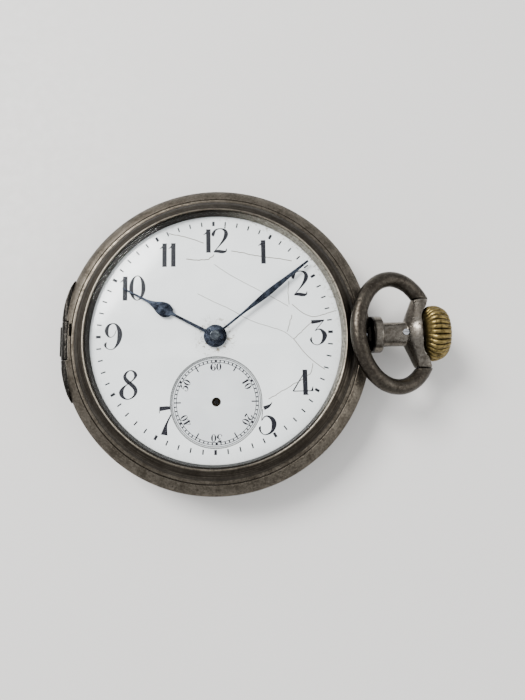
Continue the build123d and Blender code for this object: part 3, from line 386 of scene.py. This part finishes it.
case_tones = (0.048, 0.04, 0.03), (0.115, 0.099, 0.078), (0.4, 0.35, 0.28)
silver = tarnished("case_silver", *case_tones, True)
bezel_silver = tarnished("bezel_silver", *case_tones, True, bezel=True)
bow_tones = (0.028, 0.023, 0.018), (0.058, 0.05, 0.04), (0.3, 0.265, 0.22)
bow_silver = tarnished("bow_silver", *bow_tones, gloss=0.06)
pendant_tones = (0.07, 0.06, 0.048), (0.16, 0.143, 0.12), (0.6, 0.56, 0.5)
pendant_silver = tarnished("pendant_silver", *pendant_tones, gloss=0.1, collar=True)
# The hinge is tarnished nearly black, darker than the case, to stand for the shade in its slot: painted shade
# over the tarnish.
hinge_shade_tones = (0.01, 0.009, 0.008), (0.025, 0.023, 0.02), (0.4, 0.37, 0.32)
hinge_shaded_black = tarnished("hinge_shaded_black", *hinge_shade_tones, gloss=0.14)
inner_tones = (0.3, 0.28, 0.24), (0.42, 0.4, 0.36), (0.7, 0.68, 0.64)
inner_silver = tarnished("inner_silver", *inner_tones, True, pits=0.4)
crown_metal = crown_brass()
enamel_white = enamel("enamel", (0.84, 0.85, 0.845), (0.89, 0.9, 0.89))
sunk_enamel = enamel("sunk_enamel", (0.66, 0.67, 0.675), (0.72, 0.73, 0.735))
ink_black = ink("ink_black", (0.004, 0.004, 0.008), (0.015, 0.015, 0.024))
ink_grey = ink("ink_grey", (0.03, 0.03, 0.03), (0.08, 0.078, 0.074))
crack_brown = ink("crack_brown", (0.12, 0.1, 0.07), (0.3, 0.27, 0.22))
hand_blue = blued("hand_blue", (0.008, 0.0095, 0.014), (0.042, 0.05, 0.068), (0.11, 0.12, 0.14))
cap_metal = blued("cap_metal", (0.03, 0.034, 0.042), (0.09, 0.1, 0.11), (0.3, 0.3, 0.3))
spring_blue = blued("spring_blue", (0.02, 0.028, 0.08), (0.05, 0.07, 0.2), (0.3, 0.32, 0.4))
glass = crystal_glass()
gilt = plate_metal("gilt_brass", (0.6, 0.42, 0.17), (0.78, 0.58, 0.27), 0.35, 0.5, shaded_pivot=(0.0, seconds_y, 0.0))
wheel_brass = plate_metal("wheel_brass", (0.62, 0.45, 0.18), (0.82, 0.63, 0.3), 0.16, 0.3, (0.3, 4.0, 1.0))
nickel = plate_metal("nickel", (0.5, 0.47, 0.42), (0.66, 0.63, 0.58), 0.28, 0.42, (4.0, 0.25, 1.0))
steel = plate_metal("polished_steel", (0.46, 0.46, 0.47), (0.62, 0.62, 0.63), 0.1, 0.24, (0.3, 4.0, 4.0),
                    (0.0, seconds_y, 0.0))
ruby_red = ruby()

slot_materials = {
    "worn_silver": silver,
    "bow_silver": bow_silver,
    "crown_metal": crown_metal,
    "crystal": glass,
    "enamel": enamel_white,
    "blued_steel": hand_blue,
    "cap_steel": cap_metal,
    "gilt_brass": gilt,
    "wheel_brass": wheel_brass,
    "polished_steel": steel,
    "spring_steel": spring_blue,
    "ruby": ruby_red,
    "nickel": nickel,
}
for subpart in frame["record"]["subparts"]:
    carried = nodes[subpart["node"]]
    carried.data.materials.clear()
    carried.data.materials.append(slot_materials[subpart["material_slot"]])
nodes["cuvette"].data.materials[0] = inner_silver
nodes["pendant"].data.materials[0] = pendant_silver


# ---------------------------------------------------------------- mesh helpers


def place(name, mesh, body, material, slot, replaced=()):
    """Adds a finished mesh to the scene on its body, with its material, and hides the parts it replaces."""
    piece = bpy.data.objects.new(name, mesh)
    scene.collection.objects.link(piece)
    mesh.materials.clear()
    mesh.materials.append(material)
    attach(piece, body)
    if replaced:
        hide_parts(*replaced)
    return piece


def mesh_from(bm, name, sharp=35):
    """A mesh in metres from a bmesh in millimetres, shaded smooth up to an angle in degrees."""
    bmesh.ops.recalc_face_normals(bm, faces=bm.faces)
    bmesh.ops.scale(bm, vec=(MM, MM, MM), verts=bm.verts)
    mesh = bpy.data.meshes.new(name)
    bm.to_mesh(mesh)
    bm.free()
    mesh.shade_smooth()
    mesh.set_sharp_from_angle(angle=math.radians(sharp))
    return mesh


def rounded(outline, corner, step):
    """A closed outline with its corners turned into small arcs and no side longer than step."""
    points = []
    count = len(outline)
    for index in range(count):
        here = Vector(outline[index])
        before = Vector(outline[index - 1]) - here
        after = Vector(outline[(index + 1) % count]) - here
        cut = min(corner, 0.4 * before.length, 0.4 * after.length)
        start = here + before.normalized() * cut
        end = here + after.normalized() * cut
        for share in (0.0, 0.33, 0.67, 1.0):
            points.append((1 - share) ** 2 * start + 2 * share * (1 - share) * here + share**2 * end)
    filled = []
    for index, here in enumerate(points):
        after = points[(index + 1) % len(points)]
        pieces = max(1, math.ceil((after - here).length / step))
        for part in range(pieces):
            filled.append(here.lerp(after, part / pieces))
    return filled


def lathe(outline, segments, centre=(0, 0)):
    """A closed outline of (radius, height) points turned about a vertical axis."""
    bm = bmesh.new()
    rings = []
    for turn in range(segments):
        angle = TAU * turn / segments
        ring = []
        for radius, height in outline:
            x = centre[0] + radius * math.cos(angle)
            y = centre[1] + radius * math.sin(angle)
            ring.append(bm.verts.new((x, y, height)))
        rings.append(ring)
    count = len(outline)
    for turn in range(segments):
        here = rings[turn]
        after = rings[(turn + 1) % segments]
        for index in range(count):
            following = (index + 1) % count
            bm.faces.new((here[index], here[following], after[following], after[index]))
    return bm


def age(bm, seed, ripple, ripple_size, dents=0, dent_depth=0.05, dent_size=0.4, keep=None):
    """Moves a surface in and out by soft noise, and presses small dents and nicks into it."""
    bm.normal_update()
    bm.verts.index_update()
    bm.verts.ensure_lookup_table()
    draw = random.Random(seed)
    moves = {}
    for vertex in bm.verts:
        if keep and not keep(vertex.co):
            continue
        rough = noise.noise(vertex.co / ripple_size + Vector((seed, 0, 0)))
        fine = noise.noise(vertex.co / ripple_size * 3.1 + Vector((0, seed, 0)))
        moves[vertex.index] = ripple * (0.7 * rough + 0.3 * fine)
    tree_points = [draw.choice(bm.verts).co.copy() for _ in range(dents)]
    sizes = [dent_size * draw.uniform(0.5, 1.3) for _ in tree_points]
    for centre, size in zip(tree_points, sizes):
        depth = dent_depth * draw.uniform(0.4, 1.0)
        for vertex in bm.verts:
            if vertex.index not in moves:
                continue
            distance = (vertex.co - centre).length
            if distance < size:
                moves[vertex.index] -= depth * (1 - (distance / size) ** 2) ** 2
    for vertex in bm.verts:
        if vertex.index in moves:
            vertex.co += vertex.normal * moves[vertex.index]


def curve_between(points, spans=8, closed=False):
    """A smooth path through points of any dimension (Catmull-Rom)."""
    values = [Vector(p) for p in points]
    count = len(values)
    path = []
    last = count if closed else count - 1
    for index in range(last):
        b = values[index]
        c = values[(index + 1) % count]
        a = values[index - 1] if closed or index else 2 * b - c
        d = values[(index + 2) % count] if closed or index + 2 < count else 2 * c - b
        for part in range(spans):
            t = part / spans
            path.append(
                0.5
                * (2 * b + (c - a) * t + (2 * a - 5 * b + 4 * c - d) * t * t + (3 * b - a - 3 * c + d) * t**3)
            )
    if not closed:
        path.append(values[-1])
    return path


def straight_between(points):
    """A path with straight sides, cut into short pieces."""
    spans = 12
    values = [Vector(p) for p in points]
    path = [a.lerp(b, part / spans) for a, b in zip(values, values[1:]) for part in range(spans)]
    return path + [values[-1]]


thinnest_line = 0.012


def ribbon(bm, path, low, high, closed=False):
    """A flat printed stroke along (x, y, half width) points, from one height to another."""
    count = len(path)
    rows = []
    for index in range(count):
        here = path[index]
        before = path[index - 1] if closed or index else here
        after = path[(index + 1) % count] if closed or index + 1 < count else here
        along = Vector((after.x - before.x, after.y - before.y))
        across = Vector((-along.y, along.x)).normalized() * max(here.z, thinnest_line)
        left = (here.x + across.x, here.y + across.y)
        right = (here.x - across.x, here.y - across.y)
        corners = ((left, low), (left, high), (right, high), (right, low))
        rows.append([bm.verts.new((*p, z)) for p, z in corners])
    for index in range(count if closed else count - 1):
        here = rows[index]
        after = rows[(index + 1) % count]
        for side in range(4):
            following = (side + 1) % 4
            bm.faces.new((here[side], here[following], after[following], after[side]))
    if not closed:
        bm.faces.new(rows[0])
        bm.faces.new(rows[-1])


def flat_plate(name, outlines, low, high, bevel):
    """A plate with rounded edges: the first outline is its rim, the others are holes."""
    curve = bpy.data.curves.new(name, "CURVE")
    curve.dimensions = "2D"
    curve.fill_mode = "BOTH"
    curve.extrude = ((high - low) / 2 - bevel) * MM
    curve.bevel_depth = bevel * MM
    curve.bevel_resolution = 3
    curve.offset = -bevel * MM
    for outline in outlines:
        spline = curve.splines.new("POLY")
        spline.points.add(len(outline) - 1)
        for point, spot in zip(spline.points, outline):
            point.co = (spot[0] * MM, spot[1] * MM, 0, 1)
        spline.use_cyclic_u = True
    holder = bpy.data.objects.new(name, curve)
    mesh = bpy.data.meshes.new_from_object(holder)
    bpy.data.objects.remove(holder)
    mesh.transform(Matrix.Translation((0, 0, (low + high) / 2 * MM)))
    bm = bmesh.new()
    bm.from_mesh(mesh)
    bmesh.ops.remove_doubles(bm, verts=bm.verts, dist=0.002 * MM)
    bm.to_mesh(mesh)
    bm.free()
    mesh.shade_smooth()
    mesh.set_sharp_from_angle(angle=math.radians(40))
    return mesh


def circle(radius, segments, centre=(0, 0)):
    """Points round a circle."""
    turns = [TAU * index / segments for index in range(segments)]
    return [(centre[0] + radius * math.cos(a), centre[1] + radius * math.sin(a)) for a in turns]


# ---------------------------------------------------------------- bezel

bezel_outline = [
    (20.8, dial_top + 0.06),
    (21.15, 10.5),
    (21.42, 10.5),
    (21.42, 10.85),
    (21.46, 10.93),
    (21.54, 10.95),
    (21.62, 10.9),
    (21.7, 10.82),
    (22.42, 10.44),
    (22.72, 10.26),
    (22.98, 10.02),
    (23.37, 9.5),
    (23.6, 9.43),
    (bezel_radius, 9.4),
    (bezel_radius, bezel_low),
    (22.05, bezel_low),
    (22.05, 9.36),
]
bezel_mesh = lathe(rounded(bezel_outline, 0.05, 0.16), 720)
age(bezel_mesh, 3, 0.03, 1.4, 70, 0.06, 0.35, keep=lambda p: p.z > 9.42 and p.xy.length > 21.5)
place("bezel_ring", mesh_from(bezel_mesh, "bezel_ring"), "case", bezel_silver, "worn_silver", ["bezel"])

# ---------------------------------------------------------------- dial

dial_mesh = flat_plate(
    "dial_plate",
    [
        circle(dial_radius, 360),
        circle(seconds_radius + 0.02, 240, (0, seconds_y)),
        circle(1.3, 72),
    ],
    dial_low,
    dial_top,
    0.07,
)
place("dial_plate", dial_mesh, "case", enamel_white, "enamel", ["dial"])
seconds_mesh = flat_plate(
    "seconds_plate",
    [circle(seconds_radius, 240, (0, seconds_y)), circle(0.75, 48, (0, seconds_y))],
    seconds_low,
    seconds_top,
    0.05,
)
place("seconds_plate", seconds_mesh, "case", sunk_enamel, "enamel", ["seconds_dial"])

# ---------------------------------------------------------------- numerals

print_height = 0.012
print_centre = (-0.166, 0.34)

# Each stroke is (smooth, closed, points), and a point is (x, y, half width) from the digit's middle
zero = [(1.02 * math.cos(a), 2.1 * math.sin(a), 0.05 + 0.23 * math.cos(a) ** 2) for a in
        [TAU * step / 24 for step in range(24)]]
DIGITS = {
    "0": [(True, True, zero)],
    "1": [
        (True, False, [(-0.58, 1.1, 0.04), (-0.2, 1.38, 0.09), (0.25, 1.9, 0.1)]),
        (False, False, [(0.24, 2.08, 0.31), (0.24, -2.02, 0.31)]),
        (False, False, [(-0.12, -2.0, 0.06), (0.62, -2.0, 0.06)]),
    ],
    "2": [
        (True, False, [(-1.05, 0.78, 0.08), (-1.15, 1.15, 0.23), (-0.74, 1.88, 0.12), (0.1, 2.12, 0.07),
                       (0.85, 1.8, 0.19), (1.05, 1.1, 0.28), (0.7, 0.2, 0.2), (-0.15, -0.95, 0.08),
                       (-1.05, -1.98, 0.05)]),
        (True, False, [(-1.05, -1.95, 0.12), (-0.4, -1.88, 0.22), (0.4, -2.0, 0.23), (0.95, -1.92, 0.13),
                       (1.12, -1.45, 0.04)]),
    ],
    "3": [
        (False, False, [(-1.12, 1.75, 0.27), (0.2, 1.87, 0.2), (1.05, 2.08, 0.05)]),
        (False, False, [(1.03, 2.08, 0.05), (-0.55, 0.28, 0.05)]),
        (True, False, [(-0.5, 0.25, 0.04), (-0.1, 0.5, 0.05), (0.45, 0.42, 0.14), (1.02, -0.45, 0.32),
                       (0.7, -1.45, 0.2), (0.2, -1.95, 0.07), (-0.35, -2.1, 0.05), (-0.95, -1.85, 0.06),
                       (-1.28, -1.25, 0.14), (-1.15, -0.8, 0.06)]),
    ],
    "4": [
        (False, False, [(0.6, 2.02, 0.05), (-1.6, -1.45, 0.09)]),
        (False, False, [(-1.68, -1.48, 0.06), (1.65, -1.48, 0.06)]),
        (False, False, [(1.48, -1.5, 0.17), (1.62, -0.78, 0.03)]),
        (False, False, [(0.39, 2.0, 0.31), (0.39, -2.1, 0.31)]),
        (False, False, [(0.0, -2.08, 0.05), (0.86, -2.08, 0.05)]),
    ],
    "5": [
        (True, False, [(-0.58, 1.6, 0.27), (0.15, 1.92, 0.2), (0.55, 2.22, 0.1), (0.78, 2.58, 0.03)]),
        (False, False, [(-0.76, 1.5, 0.05), (-0.98, -0.35, 0.05)]),
        (True, False, [(-0.98, -0.38, 0.04), (-0.55, 0.2, 0.07), (-0.05, 0.34, 0.1), (0.72, -0.1, 0.25),
                       (1.02, -1.0, 0.33), (0.6, -2.15, 0.17), (-0.45, -2.62, 0.06), (-1.12, -2.2, 0.08),
                       (-1.3, -1.55, 0.14), (-1.12, -1.25, 0.05)]),
    ],
    "7": [
        (False, False, [(-1.07, 1.95, 0.3), (0.0, 2.06, 0.25), (0.85, 2.1, 0.18)]),
        (False, False, [(-1.1, 2.25, 0.04), (-1.12, 1.25, 0.04)]),
        (True, False, [(0.93, 1.92, 0.06), (0.9, 1.3, 0.07), (0.2, -0.14, 0.12), (-0.1, -0.95, 0.2),
                       (-0.34, -2.25, 0.45)]),
    ],
    "8": [
        (True, True, [(0.3, 2.34, 0.06), (-0.32, 2.0, 0.13), (-0.6, 1.3, 0.21), (-0.2, 0.62, 0.26),
                      (0.48, 0.05, 0.26), (1.08, -0.6, 0.26), (1.22, -1.25, 0.22), (0.85, -1.95, 0.12),
                      (0.0, -2.36, 0.06), (-0.82, -2.0, 0.18), (-1.12, -1.25, 0.3), (-0.82, -0.5, 0.17),
                      (-0.2, 0.05, 0.06), (0.55, 0.6, 0.07), (1.02, 1.1, 0.13), (1.18, 1.58, 0.21),
                      (0.9, 2.1, 0.14)]),
    ],
    "9": [
        (True, False, [(-0.1, 2.2, 0.05), (-0.78, 1.85, 0.16), (-1.12, 1.0, 0.26), (-0.88, 0.12, 0.14),
                       (-0.4, -0.15, 0.05), (0.15, 0.2, 0.04), (0.48, 1.0, 0.04)]),
        (True, False, [(-0.12, 2.2, 0.05), (0.45, 1.95, 0.13), (0.95, 1.1, 0.28), (1.08, 0.1, 0.33),
                       (0.82, -1.1, 0.22), (0.2, -2.0, 0.08), (-0.4, -2.2, 0.05), (-1.05, -1.95, 0.07),
                       (-1.3, -1.4, 0.17), (-1.08, -0.98, 0.06)]),
    ],
}
DIGITS["6"] = [
    (smooth, closed, [(-x, -y, w) for x, y, w in stroke]) for smooth, closed, stroke in DIGITS["9"]
]

# Where each digit of the hour circle stands, from the print's centre
hour_digits = [
    ("1", -1.13, 16.18), ("2", 1.08, 16.2),
    ("1", -8.57, 13.85), ("1", -7.08, 13.85),
    ("1", -15.15, 8.17), ("0", -12.86, 8.22),
    ("9", -16.74, 0.07), ("8", -14.13, -8.03), ("7", -7.9, -14.0),
    ("5", 8.45, -13.95), ("4", 14.33, -8.2), ("3", 17.2, -0.05),
    ("2", 14.45, 8.4), ("1", 8.17, 14.03),
]


def inside_opening(x, y, margin=0.0):
    """True where the dial is cut away for the seconds dial."""
    return math.hypot(x, y - seconds_y) < seconds_radius + margin


def digit(bm, character, x, y, low, size=1.0, turn=0.0, weight=1.25):
    """One printed digit. The strokes end where the seconds opening cuts them off."""
    for order, (smooth, closed, stroke) in enumerate(DIGITS[character]):
        path = curve_between(stroke, 8, closed) if smooth else straight_between(stroke)
        placed = []
        for point in path:
            across = size * (point.x * math.cos(turn) - point.y * math.sin(turn))
            up = size * (point.x * math.sin(turn) + point.y * math.cos(turn))
            placed.append(Vector((x + across, y + up, max(point.z * size * weight, 0.035))))
        if low > seconds_top:
            placed = [p for p in placed if not inside_opening(p.x, p.y, 0.08)]
        if len(placed) > 1:
            whole = closed and len(placed) == len(path)
            ribbon(bm, placed, low, low + print_height + 0.0008 * order, whole)


numerals = bmesh.new()
for character, x, y in hour_digits:
    digit(numerals, character, x + print_centre[0], y + print_centre[1], dial_top)
dot_x = 1.95 + print_centre[0]
dot_y = 18.5 + print_centre[1]
stray_dot = [Vector((dot_x + shift, dot_y, 0.14)) for shift in (-0.12, 0.12)]
ribbon(numerals, stray_dot, dial_top, dial_top + print_height)
place("hour_numerals", mesh_from(numerals, "hour_numerals"), "case", ink_black, "enamel")


def tick(bm, centre, angle, inner, outer, half_width, low):
    """A short radial line."""
    ends = []
    for radius in (inner, outer):
        x = centre[0] + radius * math.sin(angle)
        y = centre[1] + radius * math.cos(angle)
        ends.append(Vector((x, y, half_width)))
    ribbon(bm, ends, low, low + print_height)


minute_inner = 18.8
minute_outer = 19.6
minute_ticks = bmesh.new()
for minute in range(60):
    width = 0.22 if minute % 5 == 0 else 0.115
    tick(minute_ticks, print_centre, TAU * minute / 60, minute_inner, minute_outer, width, dial_top)
place("minute_ticks", mesh_from(minute_ticks, "minute_ticks"), "case", ink_black, "enamel")

# ---------------------------------------------------------------- seconds print

seconds_centre = (0.0, seconds_y)
track_inner = 6.5
track_outer = 6.9
edge_ring = 7.17
small_size = 0.28
small_weight = 1.8
small_radius = 5.78
small_shift = 0.47
seconds_print = bmesh.new()
for second in range(60):
    width = 0.2 if second % 10 == 0 else 0.1
    inner = 5.75 if second % 10 == 5 else track_inner
    tick(seconds_print, seconds_centre, TAU * second / 60, inner, track_outer, width, seconds_top)
for second in range(10, 70, 10):
    turn = -TAU * second / 60
    text = str(second)
    for index, character in enumerate(text):
        shift = small_shift * (2 * index - 1)
        x = shift * math.cos(turn) - small_radius * math.sin(turn)
        y = shift * math.sin(turn) + small_radius * math.cos(turn)
        digit(seconds_print, character, x, seconds_y + y, seconds_top, small_size, turn, small_weight)
place("seconds_numerals", mesh_from(seconds_print, "seconds_numerals"), "case", ink_black, "enamel")
seconds_rings = bmesh.new()
for radius, half_width in ((track_inner, 0.05), (track_outer, 0.05), (edge_ring, 0.045)):
    path = [Vector((*p, half_width)) for p in circle(radius, 180, seconds_centre)]
    ribbon(seconds_rings, path, seconds_top, seconds_top + print_height * 0.8, True)
place("seconds_rings", mesh_from(seconds_rings, "seconds_rings"), "case", ink_black, "enamel")
opening_line = bmesh.new()
path = [Vector((*p, 0.05)) for p in circle(seconds_radius + 0.1, 240, seconds_centre)]
ribbon(opening_line, path, dial_top - 0.01, dial_top + 0.008, True)
place("opening_line", mesh_from(opening_line, "opening_line"), "case", ink_grey, "enamel")

# ---------------------------------------------------------------- cracks

# Hairline cracks in the enamel: half width, then points from the print's centre
cracks = [
    (0.0665, [(-7.8, 17.6), (-6.4, 17.35), (-4.9, 17.0), (-3.2, 16.4), (-1.7, 15.8)]),
    (0.076, [(-4.7, 13.1), (-3.0, 12.85), (-1.2, 12.9), (-0.5, 13.3), (0.1, 13.7)]),
    (0.0665, [(2.9, 14.4), (5.4, 13.8), (8.3, 13.15), (10.8, 12.8), (13.2, 12.3)]),
    (0.0418, [(0.1, 12.0), (2.6, 10.2), (5.3, 8.6), (9.9, 6.0), (12.3, 4.5)]),
    (0.0418, [(-2.8, 7.0), (0.0, 5.5), (2.4, 4.35), (6.3, 2.1), (11.1, 0.4), (13.1, -1.1)]),
    (0.057, [(13.1, -1.1), (14.9, 0.6), (16.4, 2.0)]),
    (0.057, [(13.1, -1.1), (14.8, -3.4), (16.3, -4.9), (18.1, -6.3)]),
    (0.057, [(13.0, 4.8), (14.6, 3.4), (16.4, 2.6), (18.3, 3.0), (20.3, 3.6)]),
    (0.0475, [(12.6, 8.8), (12.4, 7.0), (12.5, 4.8)]),
    (0.057, [(12.9, 3.0), (12.5, 1.6), (12.0, 0.2)]),
    (0.057, [(16.1, -5.2), (15.5, -6.9), (12.6, -8.7), (8.7, -10.85)]),
]
crack_mesh = bmesh.new()
for width, points in cracks:
    path = []
    for point in curve_between([(*p, width) for p in points], 14):
        wander = 0.12 * noise.noise(Vector((point.x * 1.7, point.y * 1.7, 0)))
        shifted = Vector((point.x + print_centre[0] + wander, point.y + print_centre[1] - wander, point.z))
        if not inside_opening(shifted.x, shifted.y, 0.1):
            path.append(shifted)
    ribbon(crack_mesh, path, dial_top - 0.01, dial_top + 0.004)
place("dial_cracks", mesh_from(crack_mesh, "dial_cracks"), "case", crack_brown, "enamel")

# ---------------------------------------------------------------- hands

hour_turn = math.radians(151.2)
minute_turn = math.radians(38.2)
hour_boss = 1.9
minute_boss = 1.5


def hand_outline(blade, boss, turn):
    """Both edges of a blade, joined by a round boss, turned to its place on the dial."""
    upper = curve_between(blade, 10)
    start = math.asin(blade[0][1] / boss)
    points = [(p.x, p.y) for p in upper] + [(p.x, -p.y) for p in reversed(upper)]
    steps = 40
    for index in range(steps + 1):
        angle = -start - (TAU - 2 * start) * index / steps
        points.append((boss * math.cos(angle), boss * math.sin(angle)))
    cosine, sine = math.cos(turn), math.sin(turn)
    return [(x * cosine - y * sine, x * sine + y * cosine) for x, y in points]


hour_blade = [
    (hour_boss, 0.27), (4.9, 0.25), (7.85, 0.26), (8.35, 0.77), (9.3, 1.23), (10.4, 1.07), (11.5, 0.57),
    (12.9, 0.22), (15.0, 0.16), (17.55, 0.12),
]
minute_blade = [
    (minute_boss, 0.2), (4.0, 0.19), (6.3, 0.21), (8.6, 0.38), (10.9, 0.51), (13.0, 0.47), (16.2, 0.3),
    (19.95, 0.18),
]
hour_outlines = [hand_outline(hour_blade, hour_boss, hour_turn), circle(1.05, 48)]
hour_mesh = flat_plate("hour_blade", hour_outlines, hour_low, hour_low + hand_thickness, 0.05)
place("hour_blade", hour_mesh, "hour_hand", hand_blue, "blued_steel", ["hour_hand"])
minute_outlines = [hand_outline(minute_blade, minute_boss, minute_turn), circle(0.45, 48)]
minute_mesh = flat_plate("minute_blade", minute_outlines, minute_low, minute_low + hand_thickness, 0.05)
place("minute_blade", minute_mesh, "minute_hand", hand_blue, "blued_steel", ["minute_hand"])

# ---------------------------------------------------------------- crown

flutes = 32
crown_profile = curve_between(
    [
        (crown_base + 0.05, 2.6, 0.0),
        (crown_base + 0.3, 3.5, 0.15),
        (crown_base + 1.1, 4.45, 0.8),
        (crown_base + 2.15, crown_radius - 0.01, 1.0),
        (crown_base + 3.2, 4.42, 1.0),
        (crown_base + 4.0, 3.85, 0.7),
        (crown_tip - 0.35, 2.95, 0.25),
        (crown_tip - 0.08, 1.6, 0.0),
    ],
    7,
)


def crown_mesh():
    """A domed knob with rounded flutes that fade out towards its ends."""
    bm = bmesh.new()
    around = flutes * 12
    rings = []
    for x, radius, share in crown_profile:
        ring = []
        for turn in range(around):
            angle = TAU * turn / around
            groove = abs(math.sin(flutes * angle / 2)) ** 0.75
            depth = 0.32 * min(max(share, 0.0), 1.0) * (1 - groove)
            spot = radius - depth
            ring.append(bm.verts.new((x, spot * math.cos(angle), stem_z + spot * math.sin(angle))))
        rings.append(ring)
    for row in range(len(rings) - 1):
        for turn in range(around):
            after = (turn + 1) % around
            bm.faces.new((rings[row][turn], rings[row][after], rings[row + 1][after], rings[row + 1][turn]))
    for ring, x in ((rings[0], crown_base + 0.02), (rings[-1], crown_tip)):
        centre = bm.verts.new((x, 0, stem_z))
        for turn in range(around):
            bm.faces.new((ring[turn], ring[(turn + 1) % around], centre))
    age(bm, 11, 0.03, 1.2, 12, 0.07, 0.5)
    return mesh_from(bm, "crown_knob", 60)


place("crown_knob", crown_mesh(), "crown", crown_metal, "crown_metal", ["crown"])

# ---------------------------------------------------------------- pendant, bow and hinge


def worn_copy(node, name, voxel, seed, body, material, slot, ripple=0.03, dents=20, passes=5):
    """A CAD node's own shape with its edges worn round and its skin dented."""
    source = nodes[node]
    holder = bpy.data.objects.new(name, source.data.copy())
    scene.collection.objects.link(holder)
    remesh = holder.modifiers.new("even", "REMESH")
    remesh.mode = "VOXEL"
    remesh.voxel_size = voxel * MM
    smooth = holder.modifiers.new("worn", "SMOOTH")
    smooth.factor = 0.5
    smooth.iterations = passes
    bpy.context.view_layer.update()
    mesh = bpy.data.meshes.new_from_object(holder.evaluated_get(bpy.context.evaluated_depsgraph_get()))
    bpy.data.objects.remove(holder)
    bm = bmesh.new()
    bm.from_mesh(mesh)
    bmesh.ops.scale(bm, vec=(1 / MM, 1 / MM, 1 / MM), verts=bm.verts)
    age(bm, seed, ripple, 1.3, dents, 0.05, 0.4)
    return place(name, mesh_from(bm, name, 60), body, material, slot, [node])


worn_copy("pendant", "pendant_worn", 0.09, 21, "case", pendant_silver, "worn_silver", 0.02, 14, 12)
worn_copy("bow", "bow_worn", 0.11, 22, "bow", bow_silver, "bow_silver", dents=40)
worn_copy("lid_hinge_knuckles", "hinge_barrel", 0.08, 23, "case", hinge_shaded_black, "worn_silver")
worn_copy("lid_hinge_stub", "hinge_stub", 0.08, 24, "lid_stub", hinge_shaded_black, "worn_silver", dents=8)

# ---------------------------------------------------------------- stage

floor_mesh = bmesh.new()
floor_reach = 0.6
bmesh.ops.create_grid(floor_mesh, x_segments=2, y_segments=2, size=floor_reach)
floor_data = bpy.data.meshes.new("floor")
floor_mesh.to_mesh(floor_data)
floor_mesh.free()
floor = bpy.data.objects.new("floor", floor_data)
scene.collection.objects.link(floor)
paper = Shader("floor_paper")
floor_data.materials.append(
    paper.finish(
        base_color=paper.mix(paper.noise(0.02, 3), (0.66, 0.64, 0.61), (0.7, 0.68, 0.65)),
        roughness=paper.step(paper.noise(0.5), 0.3, 0.7, 0.55, 0.7),
    )
)


def soft_light(name, spot, size, watts):
    """A square area light that faces the watch."""
    lamp = bpy.data.lights.new(name, "AREA")
    lamp.shape = "SQUARE"
    lamp.size = size
    lamp.energy = watts
    holder = bpy.data.objects.new(name, lamp)
    scene.collection.objects.link(holder)
    holder.location = spot
    holder.rotation_mode = "QUATERNION"
    holder.rotation_quaternion = (-Vector(spot)).to_track_quat("-Z", "Y")


soft_light("key_light", (-0.36, 0.32, 0.53), 0.3, 9.0)
soft_light("fill_light", (0.5, -0.1, 0.4), 0.5, 1.2)

world = bpy.data.worlds.new("studio")
world.use_nodes = True
sky_light = world.node_tree.nodes["Background"].inputs
sky_light["Color"].default_value = (0.8, 0.82, 0.85, 1.0)
sky_light["Strength"].default_value = 1.3
scene.world = world

camera_data = bpy.data.cameras.new("camera")
camera_data.lens = 27.1
camera_data.sensor_width = 36.0
camera_data.clip_start = 0.002
camera_data.clip_end = 5.0
camera = bpy.data.objects.new("camera", camera_data)
camera_place = Vector((7.592, -15.68, 95.026))
camera_turn = (8.77, 0.124, -1.331)
camera.location = camera_place * MM
camera.rotation_euler = [math.radians(a) for a in camera_turn]
scene.collection.objects.link(camera)
scene.camera = camera
